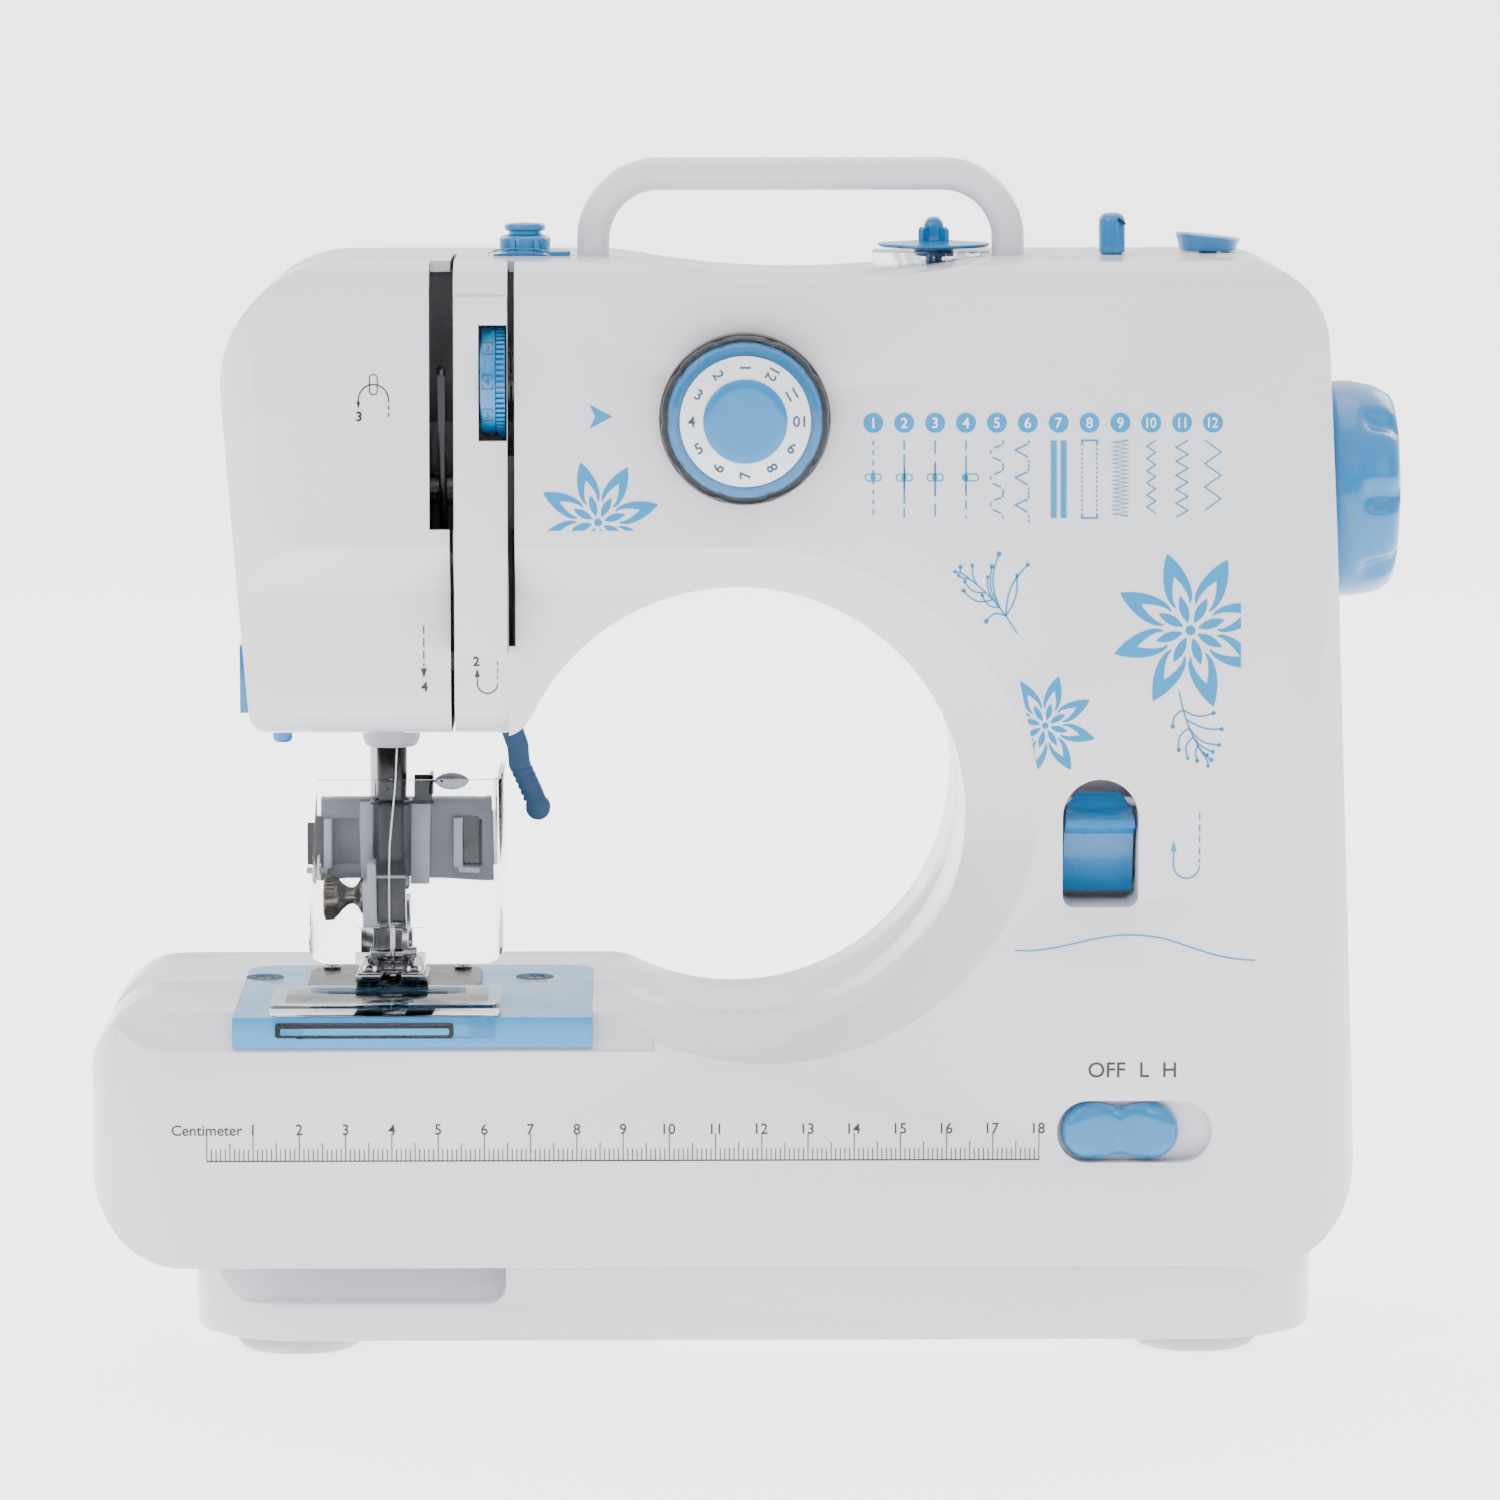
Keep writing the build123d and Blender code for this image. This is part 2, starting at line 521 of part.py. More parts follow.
# ================================================================ inner frame and bearings
FY0, FY1 = FRAME_Y
frame = box(-98, 100, FY0, FY1, *BEAM_Z)
frame += box(*PILLAR_X, FY0, FY1, SILL_Z[0], BEAM_Z[1])
frame += box(-110, PILLAR_X[1], FY0, FY1, *SILL_Z)
frame += box(-98, -64, FY0, FY1, HEAD_BOTTOM + 6, BEAM_Z[1])
for x0, x1 in BUSH_X:
    frame += box(x0, x1, -8, FY0, SHAFT_Z - 8, SHAFT_Z + 8)
    frame -= rod_x(SHAFT_R + 2.2, x0 - 1, x1 + 1, 0, SHAFT_Z)
for x0, x1 in LOWER_X:
    frame += box(x0, x1, -7, FY0, SILL_Z[0], LOWER_Z + 7)
    frame -= rod_x(LOWER_R + RUN_FIT, x0 - 1, x1 + 1, 0, LOWER_Z)
# guide for the needle and presser bars
frame += box(-87, -73, NEEDLE_Y - 6, FY0, *GUIDE_Z)
frame -= rod_z(NEEDLE_BAR_R + RUN_FIT, GUIDE_Z[0] - 1, GUIDE_Z[1] + 1, NEEDLE_X, NEEDLE_Y)
frame -= rod_z(PRESSER_BAR_R + RUN_FIT, GUIDE_Z[0] - 1, GUIDE_Z[1] + 1, PRESSER_X, PRESSER_Y)
# presser lever pivot
frame += box(LEVER_X - 7, LEVER_X + 4.4, FY0 - 3.5, FY0, LEVER_Z - 3.4, BEAM_Z[0] + 3)
frame += box(LEVER_X - 7, LEVER_X + 4.4, FY0, FY1, LEVER_Z - 3.4, BEAM_Z[0] + 3)
frame -= rod_y(3 + RUN_FIT, FY0 - 9, FY1 + 9, LEVER_X, LEVER_Z)
# dial bearing
frame += box(DIAL_X - 7.5, DIAL_X + 7.5, -10, FY1, DIAL_Z - 8, DIAL_Z + 8)
frame -= rod_y(DIAL_SHAFT_R + RUN_FIT, -11, 8, DIAL_X, DIAL_Z)
# take-up lever post
frame += box(SLOT_1[1] - 0.6, SLOT_1[1] + 1.2, TAKE_Y - 4, FY0, TAKE_Z - 5, TAKE_Z + 5)
frame += rod_x(1.8, SLOT_1[0] + 1, SLOT_1[1] - 0.6, TAKE_Y, TAKE_Z)
# motor mounting plate
frame += box(PILLAR_X[1], MOTOR_X[0], FY0, MOTOR_Y + MOTOR_R, MOTOR_Z - MOTOR_R, MOTOR_Z + MOTOR_R)
NODES["main_frame"] = frame
guides = []
for x0, x1 in BUSH_X:
    guides.append(rod_x(SHAFT_R + 2.18, x0, x1, 0, SHAFT_Z) - rod_x(SHAFT_R + RUN_FIT, x0, x1, 0, SHAFT_Z))
for x, y, r in ((NEEDLE_X, NEEDLE_Y, NEEDLE_BAR_R), (PRESSER_X, PRESSER_Y, PRESSER_BAR_R)):
    sleeve = rod_z(r + 1.48, HEAD_BOTTOM, HEAD_BOTTOM + 6, x, y)
    sleeve += rod_z(r + 2.9, HEAD_BOTTOM - 2, HEAD_BOTTOM, x, y)
    guides.append(sleeve - rod_z(r + RUN_FIT, HEAD_BOTTOM - 3, HEAD_BOTTOM + 9, x, y))
NODES["bushings"] = Compound(guides)

# ================================================================ main drive
crank = rod_x(SHAFT_R, CRANK_X[1], WHEEL_RIGHT - 3, 0, SHAFT_Z) + rod_x(CRANK_R, *CRANK_X, 0, SHAFT_Z)
crank += rod_x(1.6, CRANK_X[0] - 0.9, CRANK_X[0], 0, SHAFT_Z - CRANK_THROW)
NODES["main_shaft"] = crank


def flanged(radius, x0, x1, y, z, flange):
    """Belt wheel with a rim at each side."""
    wheel = rod_x(radius, x0, x1, y, z)
    wheel += rod_x(radius + flange, x0 - 1, x0, y, z)
    wheel += rod_x(radius + flange, x1, x1 + 1, y, z)
    return wheel


wheels = [
    flanged(PULLEY_R, *BELT_X, 0, SHAFT_Z, 2.4) - rod_x(SHAFT_R, 90, 120, 0, SHAFT_Z),
    flanged(TIMING_R, *TIMING_X, 0, SHAFT_Z, 2.2) - rod_x(SHAFT_R, 70, 100, 0, SHAFT_Z),
]
NODES["shaft_pulleys"] = Compound(wheels)


def belt_loop(x0, x1, upper, upper_r, lower, lower_r):
    """Belt round two wheels given as (y, z) centres."""
    run = math.hypot(upper[0] - lower[0], upper[1] - lower[1])
    heading = math.atan2(upper[1] - lower[1], upper[0] - lower[0])
    spread = math.acos((lower_r - upper_r) / run)
    loops = []
    for grow in (0.3 + BELT_T, 0.3):
        points = []
        for centre, radius in ((upper, upper_r + grow), (lower, lower_r + grow)):
            for side in (-1, 1):
                angle = heading + math.pi + side * spread
                points.append((centre[0] + radius * math.cos(angle), centre[1] + radius * math.sin(angle)))
        a, b, c, d = points
        strap = outline(a, b, d, c)
        strap += Pos(*upper) * Circle(upper_r + grow)
        strap += Pos(*lower) * Circle(lower_r + grow)
        loops.append(along_x(strap, x0, x1))
    return loops[0] - loops[1]


NODES["drive_belt"] = belt_loop(BELT_X[0] + 0.5, BELT_X[1] - 0.5, (0, SHAFT_Z), PULLEY_R,
                                (MOTOR_Y, MOTOR_Z), MOTOR_PULLEY_R)
NODES["timing_belt"] = belt_loop(TIMING_X[0] + 0.5, TIMING_X[1] - 0.5, (0, SHAFT_Z), TIMING_R,
                                 (0, LOWER_Z), TIMING_R)
motor = rod_x(MOTOR_R, *MOTOR_X, MOTOR_Y, MOTOR_Z) + rod_x(6, MOTOR_X[1], MOTOR_X[1] + 2, MOTOR_Y, MOTOR_Z)
for i in range(6):
    angle = math.radians(60 * i)
    motor -= rod_x(1.8, MOTOR_X[1] - 3, MOTOR_X[1] + 1, MOTOR_Y + 10.5 * math.cos(angle),
                   MOTOR_Z + 10.5 * math.sin(angle))
motor -= rod_x(1.5 + RUN_FIT, MOTOR_X[1] - 12, MOTOR_X[1] + 3, MOTOR_Y, MOTOR_Z)
NODES["motor"] = motor
NODES["motor_pulley"] = (flanged(MOTOR_PULLEY_R, *BELT_X, MOTOR_Y, MOTOR_Z, 2.4)
                         + rod_x(1.5, MOTOR_X[1] - 11, BELT_X[0], MOTOR_Y, MOTOR_Z))

hub = [(0, 0), (7.5, 0), (7.5, 4), (WHEEL_R - 1.6, 4), (WHEEL_R, 5.4), (WHEEL_R, 10.5),
       (WHEEL_R - 1.2, 14.5), (WHEEL_R - 3.6, 17.6), (WHEEL_R - 7.4, 19.6), (0, 19.6)]
wheel = turned_x(hub, WHEEL_RIGHT - 19.6, 0, SHAFT_Z)
for i in range(24):
    angle = 2 * math.pi * i / 24
    wheel -= rod_x(1.1, WHEEL_LEFT + 6.5, WHEEL_RIGHT + 1, (WHEEL_R + 0.3) * math.cos(angle),
                   SHAFT_Z + (WHEEL_R + 0.3) * math.sin(angle))
NODES["handwheel"] = wheel - rod_x(SHAFT_R, WHEEL_LEFT - 9, WHEEL_RIGHT - 3, 0, SHAFT_Z)

lower = rod_x(LOWER_R, GEAR_X[0] - 3, TIMING_X[1] + 2, 0, LOWER_Z)
lower += flanged(TIMING_R, *TIMING_X, 0, LOWER_Z, 2.2)
lower += rod_x(GEAR_R, *GEAR_X, 0, LOWER_Z)
NODES["lower_shaft"] = lower

# ================================================================ hook and bobbin
HOOK_GEAR_R = abs(HOOK_Y) - GEAR_R - 0.5
race = rod_z(HOOK_R, HOOK_FLOOR, HOOK_TOP, HOOK_X, HOOK_Y) - rod_z(HOOK_R - 1.2, HOOK_FLOOR + 1.4, HOOK_TOP + 1,
                                                                      HOOK_X, HOOK_Y)
race -= rod_z(2.2, HOOK_FLOOR - 1, HOOK_FLOOR + 2, HOOK_X, HOOK_Y)
race += box(HOOK_X + HOOK_R - 1, DECK_RIGHT - 15, HOOK_Y - 4, HOOK_Y + 4, BED_Z - 12.5, BED_Z - 10.6)
NODES["hook_race"] = race
cup_r = HOOK_R - 1.2 - 0.4
cup = rod_z(cup_r, HOOK_FLOOR + 1.8, HOOK_TOP - 1.5, HOOK_X, HOOK_Y)
cup -= rod_z(cup_r - 1.2, HOOK_FLOOR + 3, HOOK_TOP, HOOK_X, HOOK_Y)
cup += rod_z(2.1, LOWER_Z - 6, HOOK_FLOOR + 2, HOOK_X, HOOK_Y)
cup += rod_z(HOOK_GEAR_R, LOWER_Z - 3, LOWER_Z + 3, HOOK_X, HOOK_Y)
cup += rod_z(1.8, HOOK_FLOOR + 3, HOOK_TOP - 2, HOOK_X, HOOK_Y)
NODES["hook"] = cup
bobbin_low = HOOK_FLOOR + 3.4
spool = rod_z(BOBBIN_R, bobbin_low, bobbin_low + 1, HOOK_X, HOOK_Y)
spool += rod_z(BOBBIN_R, HOOK_TOP - 2.2, HOOK_TOP - 1.2, HOOK_X, HOOK_Y)
spool += rod_z(4, bobbin_low, HOOK_TOP - 1.2, HOOK_X, HOOK_Y)
spool -= rod_z(1.8 + SLIDE_FIT, bobbin_low - 1, HOOK_TOP, HOOK_X, HOOK_Y)
NODES["bobbin"] = spool

# ================================================================ bed fittings
deck = deck_block(0) & box(-200, 200, -HALF_DEPTH, 90, 0, BED_Z)
deck -= box(DECK_LEFT + 2, DECK_RIGHT - 2, -HALF_DEPTH + 2, BED_BREAK + 2, 0, BED_Z - DECK_T)
deck -= box(COVER_X[0] + 3, COVER_X[1] - 3, -HALF_DEPTH + 3, COVER_BACK - 1.5, BED_Z - DECK_T - 1, BED_Z + 1)
deck -= box(PLATE_X[0] + 3, PLATE_X[1] - 3, COVER_BACK + 1.5, PLATE_Y[1] - 8, BED_Z - DECK_T - 1, BED_Z + 1)
for x, y in SCREW_SPOTS[:2]:
    deck -= rod_z(2.5 + SEAT, BED_Z - 1, BED_Z + 1, x, y)
for x, y in SCREW_SPOTS:
    deck -= rod_z(1.3 + SEAT, BED_Z - DECK_T - 1, BED_Z + 1, x, y)
NODES["deck_plate"] = deck

plate = along_z(slab(*PLATE_X, *PLATE_Y, 9), BED_Z, BED_Z + 1.2)
plate -= rod_z(1.3, BED_Z - 1, BED_Z + 2, NEEDLE_X, NEEDLE_Y)
for x0 in TOOTH_X:
    plate -= box(x0 - 0.4, x0 + 2.8, NEEDLE_Y - 4.6, NEEDLE_Y + 20, BED_Z - 1, BED_Z + 2)
for x, y in SCREW_SPOTS[2:]:
    plate -= rod_z(1.3 + SEAT, BED_Z - 1, BED_Z + 2, x, y)
NODES["needle_plate"] = plate

screws = []
for i, (x, y) in enumerate(SCREW_SPOTS):
    seat_z = BED_Z - 1 if i < 2 else BED_Z + 1.2
    screw = rod_z(2.5, seat_z, seat_z + 0.9, x, y) + rod_z(1.3, seat_z - 2.9, seat_z, x, y)
    screws.append(screw - box(x - 3, x + 3, y - 0.4, y + 0.4, seat_z + 0.4, seat_z + 2))
NODES["deck_screws"] = Compound(screws)

dog = box(NEEDLE_X - 6, NEEDLE_X + 6, NEEDLE_Y + 1.2, NEEDLE_Y + 15, BED_Z - 7, BED_Z - 3)
for x0 in TOOTH_X:
    dog += box(x0, x0 + 2.4, NEEDLE_Y + 1.2, NEEDLE_Y + 15, BED_Z - 3, BED_Z + 0.6)
    for i in range(8):
        tooth_y = NEEDLE_Y + 1.2 + 1.7 * i
        tooth = outline((tooth_y, BED_Z + 0.6), (tooth_y + 1.6, BED_Z + 0.6), (tooth_y + 1.4, BED_Z + 1.3))
        dog += along_x(tooth, x0, x0 + 2.4)
dog += box(NEEDLE_X - 2, NEEDLE_X + 2, NEEDLE_Y + 9, NEEDLE_Y + 15, BED_Z - 12, BED_Z - 7)
NODES["feed_dog"] = dog

cover_low = BED_Z + SLIDE_FIT
lid = along_z(slab(*COVER_X, COVER_FRONT, COVER_BACK, 2), cover_low, cover_low + COVER_T)
lid += box(COVER_X[0] + 1, COVER_X[1] - 1, COVER_FRONT, COVER_FRONT + 0.25, BED_Z - 4.6, cover_low + 0.5)
lid -= box(HOOK_X - 18, HOOK_X + 18, COVER_FRONT - 1, COVER_FRONT + 3, BED_Z - 9, BED_Z - 1.6)
NODES["bobbin_cover"] = lid

# ================================================================ needle bar group
bar_low = BED_Z + 27.6
bar_step = BED_Z + 41.5
bar_top = SHAFT_Z + 3
bar = rod_z(NEEDLE_BAR_R, bar_step, bar_top, NEEDLE_X, NEEDLE_Y)
bar += rod_z(NEEDLE_BAR_R - 0.5, bar_low, bar_step, NEEDLE_X, NEEDLE_Y)
yoke_z = SHAFT_Z - CRANK_THROW
yoke = box(CRANK_X[0] - 2.7, CRANK_X[0] - 1.3, NEEDLE_Y - 5, FY0 - 0.35, yoke_z - 4, yoke_z + 4)
yoke -= box(CRANK_X[0] - 9, CRANK_X[0], -10.9, 10.9, yoke_z - 2, yoke_z + 2)
bar += yoke
bar += box(NEEDLE_X - 4, CRANK_X[0] - 2.7, NEEDLE_Y - 5, NEEDLE_Y + 4, yoke_z - 4, yoke_z + 4)
NODES["needle_bar"] = bar
clamp_z = (BED_Z + 15.8, BED_Z + 28.6)
clamp = along_z(slab(NEEDLE_X - 3.3, NEEDLE_X + 3.3, NEEDLE_Y - 4.2, NEEDLE_Y + 4.2, 1.2), *clamp_z)
clamp -= rod_z(NEEDLE_BAR_R - 0.5, bar_low, bar_step, NEEDLE_X, NEEDLE_Y)
clamp -= rod_z(1.2, 0, bar_low, NEEDLE_X, NEEDLE_Y)
screw_z = BED_Z + 21.0
clamp -= rod_x(1.3, NEEDLE_X - 5, NEEDLE_X - 1.15, NEEDLE_Y, screw_z)
NODES["needle_clamp"] = clamp
waist = 4.2 + THUMB_NECK
knob = [(0, 0), (4.4, 0), (4.6, 0.5), (4.6, 2.6), (3.4, 3.2), (2.2, 4.2), (1.9, waist), (1.3, waist),
        (1.3, waist + 2), (0, waist + 2)]
thumb = turned_x(knob, NEEDLE_X - 3.3 - waist, NEEDLE_Y, screw_z)
for i in range(16):
    angle = 2 * math.pi * i / 16
    thumb -= rod_x(0.35, NEEDLE_X - 24, NEEDLE_X - 0.8 - waist, NEEDLE_Y + 4.75 * math.cos(angle),
                   screw_z + 4.75 * math.sin(angle))
NODES["clamp_screw"] = thumb
point = [(0, 0), (0.35, 2.2), (0.55, 5), (0.55, 16), (1.15, 18), (1.15, bar_low - NEEDLE_TIP), (0, bar_low - NEEDLE_TIP)]
needle = turned(point, NEEDLE_X, NEEDLE_Y, NEEDLE_TIP)
NODES["needle"] = needle - rod_y(0.18, NEEDLE_Y - 3, NEEDLE_Y + 3, NEEDLE_X, NEEDLE_TIP + 3.6)

# ================================================================ presser group
presser_top = SHAFT_Z - 4
presser = rod_z(PRESSER_BAR_R, FOOT_SOLE + 11.5, presser_top, PRESSER_X, PRESSER_Y)
block_z = (LEVER_Z + 3.7, LEVER_Z + 8)
presser += box(PRESSER_X - 4, PRESSER_X + 4, PRESSER_Y - 4, PRESSER_Y + 3.5, *block_z)
presser += box(PRESSER_X + 4, LEVER_X - 1, PRESSER_Y - 4, PRESSER_Y + 1, *block_z)
presser += rod_z(4.3, presser_top - 3, presser_top, PRESSER_X, PRESSER_Y)
NODES["presser_bar"] = presser
coil_low = GUIDE_Z[1] + 0.2
coil_high = presser_top - 3.2


def coil(low, high, turns, mean_r, wire_r, x, y):
    """Round-wire spring standing on end."""
    path = Helix(pitch=(high - low - 2 * wire_r) / turns, height=high - low - 2 * wire_r, radius=mean_r)
    ring = Plane(origin=path @ 0, z_dir=path % 0) * Circle(wire_r)
    return Pos(x, y, low + wire_r) * sweep(ring, path=path, is_frenet=True)


NODES["presser_spring"] = coil(coil_low, coil_high, 5, 3.6, 0.45, PRESSER_X, PRESSER_Y)

runner = outline((NEEDLE_Y + 11, FOOT_SOLE), (NEEDLE_Y - 4, FOOT_SOLE), (NEEDLE_Y - 12, FOOT_SOLE + 2.4),
                 (NEEDLE_Y - 12, FOOT_SOLE + 4), (NEEDLE_Y - 5, FOOT_SOLE + 2), (NEEDLE_Y + 11, FOOT_SOLE + 2))
sole = along_x(runner, NEEDLE_X - 8, NEEDLE_X + 8)
sole &= along_z(slab(NEEDLE_X - 8, NEEDLE_X + 8, NEEDLE_Y - 12, NEEDLE_Y + 11, 3), 0, 200)
sole -= along_z(slab(NEEDLE_X - 2.2, NEEDLE_X + 2.2, NEEDLE_Y - 15, NEEDLE_Y + 3, 2), 0, FOOT_SOLE + 9)
sole += box(NEEDLE_X - 5, NEEDLE_X + 5, NEEDLE_Y + 4.7, NEEDLE_Y + 8, FOOT_SOLE + 2, FOOT_SOLE + 4.5)
ankle_z = FOOT_SOLE + 17
sole += box(PRESSER_X - 5, NEEDLE_X + 4, PRESSER_Y - 4.6, PRESSER_Y + 4.6, FOOT_SOLE + 5, ankle_z)
sole += box(PRESSER_X - 2, NEEDLE_X + 2, NEEDLE_Y + 4.7, PRESSER_Y - 4.6, FOOT_SOLE + 2, FOOT_SOLE + 11)
sole -= rod_z(PRESSER_BAR_R + SEAT, FOOT_SOLE + 11.5, 150, PRESSER_X, PRESSER_Y)
NODES["presser_foot"] = sole

bracket = box(BRACKET_X[0], NEEDLE_X - 4.6, *BRACKET_Y, *BRACKET_Z)
bracket += box(NEEDLE_X + 4.6, BRACKET_X[1], *BRACKET_Y, *BRACKET_Z)
bracket += box(*BRACKET_X, BRACKET_Y[1], BRACKET_Y[1] + 1.6, *BRACKET_Z)
for x0 in (BRACKET_X[0] + 3.4, BRACKET_X[1] - 9):
    bracket -= box(x0, x0 + 5.6, BRACKET_Y[0] - 1, BRACKET_Y[1], BRACKET_Z[0] + 3, BRACKET_Z[1] - 4)
bracket += box(PRESSER_X - 5, PRESSER_X + 5, BRACKET_Y[1] + 1.6, PRESSER_Y + 4.6, BRACKET_Z[0] + 6, BRACKET_Z[1] - 5)
bracket -= rod_z(PRESSER_BAR_R + SEAT, 0, 200, PRESSER_X, PRESSER_Y)
bracket += box(BRACKET_X[1], GUARD_X[1] - 1.25, BRACKET_Y[0], BRACKET_Y[1] + 1.6, BRACKET_Z[0] + 3, BRACKET_Z[1] - 3)
NODES["guard_bracket"] = bracket

shield = outline((GUARD_X[0], GUARD_Z[0]), (GUARD_X[1], GUARD_Z[0]), (GUARD_X[1], GUARD_Z[1]),
                 (GUARD_X[0] + 2.4, GUARD_Z[1]))
shield = rounded(shield, (GUARD_X[0], GUARD_Z[0]), 4)
shield = rounded(shield, (GUARD_X[1], GUARD_Z[0]), 4)
plan_out = slab(GUARD_X[0], GUARD_X[1], GUARD_Y[0], GUARD_Y[1] + 20, 5)
plan_in = slab(GUARD_X[0] + 1.2, GUARD_X[1] - 1.2, GUARD_Y[0] + 1.2, GUARD_Y[1] + 20, 3.8)
guard = along_z(plan_out, GUARD_Z[0], GUARD_Z[1]) - along_z(plan_in, 0, 200)
guard &= box(-200, 0, -90, GUARD_Y[1], 0, 200)
guard &= along_y(shield, -90, 20)
notch = outline((NEEDLE_X - 9, 0), (NEEDLE_X + 10, 0), (NEEDLE_X + 8, GUARD_Z[0] + 8), (NEEDLE_X - 7, GUARD_Z[0] + 8))
guard -= along_y(notch, -90, GUARD_Y[0] + 5)
NODES["guard"] = guard

wing_z = BED_Z + 46.8
wing = box(-70.4, -61.2, BRACKET_Y[0] - 5.6, BRACKET_Y[0] - 2.6, wing_z - 2.6, wing_z + 2.6)
wing = fillet(wing.edges().filter_by(Axis.Y), 2.4)
wing += rod_y(1.8, BRACKET_Y[0] - 2.6, BRACKET_Y[1] + 1.6, -65.8, wing_z)
for ring_z in (BED_Z + 41.0, BED_Z + 46.0):
    ring = Pos(NEEDLE_X, NEEDLE_Y, ring_z) * Torus(4.5, 0.6)
    wing += ring
    wing += rod_x(0.6, NEEDLE_X + 4.3, -64, NEEDLE_Y, ring_z)
wing += box(-68, -63.6, NEEDLE_Y - 0.8, NEEDLE_Y + 0.8, BED_Z + 40.2, wing_z + 1.2)
wing += box(-68, -63.6, NEEDLE_Y + 0.8, BRACKET_Y[1], wing_z - 1.2, wing_z + 1.2)
wing += box(-68, -63.6, BRACKET_Y[1], BRACKET_Y[1] + 1.6, BRACKET_Z[1], wing_z + 1.2)
NODES["wing_screw"] = wing

lever_line = [(0, 0), (3.4, -10), (5.2, -15), (5.5, -19), (8.1, -25), (9.7, -29)]   # from the pivot down
half = LEVER_WIDTH / 2
lever_face = Circle(3.0)
for (x0, z0), (x1, z1) in zip(lever_line, lever_line[1:]):
    run = math.hypot(x1 - x0, z1 - z0)
    side_x, side_z = half * (z1 - z0) / run, -half * (x1 - x0) / run
    lever_face += outline((x0 + side_x, z0 + side_z), (x1 + side_x, z1 + side_z), (x1 - side_x, z1 - side_z),
                          (x0 - side_x, z0 - side_z))
    lever_face += Pos(x1, z1) * Circle(half)
lever_face += Pos(*lever_line[-1]) * Circle(half + 0.4)
for i in range(6):
    x, z = 6.0 + 0.62 * i, -20.2 - 1.35 * i
    for side in (-1, 1):
        lever_face -= Pos(x + side * (half + 0.15), z + 0.95 * side) * Circle(0.5)
lever = Pos(LEVER_X, 0, LEVER_Z) * along_y(lever_face, LEVER_Y - 1.8, LEVER_Y + 1.8)
lever += rod_y(3, FY0 - 7, LEVER_Y + 1.8, LEVER_X, LEVER_Z)
NODES["presser_lever"] = lever

# ================================================================ thread path
arm = outline((TAKE_Y - 3.4, TAKE_Z + 1), (TAKE_Y - 14, TAKE_Z + 27), (TAKE_Y - 18.6, TAKE_Z + 41),
              (TAKE_Y - 15.4, TAKE_Z + 43), (TAKE_Y - 10, TAKE_Z + 27), (TAKE_Y + 3.2, TAKE_Z + 2))
take = along_x(arm, SLOT_1[0] + 1.8, SLOT_1[1] - 1.8)
take += rod_x(4, SLOT_1[0] + 1.8, SLOT_1[1] - 1.8, TAKE_Y, TAKE_Z)
take -= rod_x(1.8 + RUN_FIT, -90, -40, TAKE_Y, TAKE_Z)
take -= rod_x(0.9, -90, -40, TAKE_Y - 16.4, TAKE_Z + 39.6)
NODES["takeup_lever"] = take

tension = box(AXLE_X[1] - 1.4, AXLE_X[1], TENSION_Y - 6, FY0, BEAM_Z[1] - 6, TENSION_Z + 6)
tension += rod_x(2, AXLE_X[0], AXLE_X[1] - 1.4, TENSION_Y, TENSION_Z)
tension += rod_x(6.4, TENSION_X[1] + 0.4, TENSION_X[1] + 1.0, TENSION_Y, TENSION_Z)
tension += rod_x(6.4, TENSION_X[1] + 1.5, TENSION_X[1] + 2.1, TENSION_Y, TENSION_Z)
for i in range(4):
    turn_x = AXLE_X[0] + 0.6 + 1.05 * i
    tension += Pos(turn_x, TENSION_Y, TENSION_Z) * (Rot(0, 90, 0) * Torus(2.3, 0.4))
NODES["tension_unit"] = tension
dial = rod_x(TENSION_R, *TENSION_X, TENSION_Y, TENSION_Z)
for i in range(36):
    angle = 2 * math.pi * i / 36
    dial -= rod_x(0.45, TENSION_X[1] - 1.6, TENSION_X[1] + 1, TENSION_Y + TENSION_R * math.cos(angle),
                  TENSION_Z + TENSION_R * math.sin(angle))
NODES["tension_wheel"] = dial - rod_x(2 + RUN_FIT, -90, -40, TENSION_Y, TENSION_Z)

cutter_z = (HEAD_BOTTOM + 2, HEAD_BOTTOM + 17)
side_x = -HEAD_LEFT_BOTTOM - 1.2
cutter = box(side_x - 2.8, side_x + 2, -8, 4, *cutter_z)
cutter -= box(side_x - 4, side_x - 1.6, -3.4, -1.6, cutter_z[0] + 3.5, cutter_z[1] + 1)
NODES["thread_cutter"] = cutter - OUTER

# ================================================================ controls on the front
dial_y = front_y(DIAL_Z)
bezel = rod_y(DIAL_R, dial_y - 4.2, dial_y + 6, DIAL_X, DIAL_Z) - OUTER
NODES["dial_bezel"] = bezel - rod_y(DIAL_SHAFT_R + 0.6, -90, 0, DIAL_X, DIAL_Z)
dial_back = dial_y - 4.2 - SLIDE_FIT
skirt = rod_y(DIAL_R - 0.3, DIAL_FRONT + 1.4, dial_back, DIAL_X, DIAL_Z)
for i in range(24):
    angle = 2 * math.pi * i / 24
    skirt -= rod_y(1.1, -90, 0, DIAL_X + DIAL_R * math.cos(angle), DIAL_Z + DIAL_R * math.sin(angle))
skirt -= rod_y(14.2, -90, 0, DIAL_X, DIAL_Z)
NODES["dial_skirt"] = skirt
ring = rod_y(14.18, DIAL_FRONT + 0.9, dial_back, DIAL_X, DIAL_Z)
ring += rod_y(DIAL_SHAFT_R, dial_back, 7, DIAL_X, DIAL_Z)
ring += rod_y(12.6, front_y(DIAL_Z) + 8, front_y(DIAL_Z) + 22, DIAL_X, DIAL_Z)
for i in range(4):
    lobe_y = front_y(DIAL_Z) + 9.5 + 3.2 * i
    for j in range(12):
        angle = math.radians(30 * j + 11 * i)
        ring -= rod_y(1.2, lobe_y, lobe_y + 2, DIAL_X + 12.8 * math.cos(angle), DIAL_Z + 12.8 * math.sin(angle))
NODES["dial_ring"] = ring
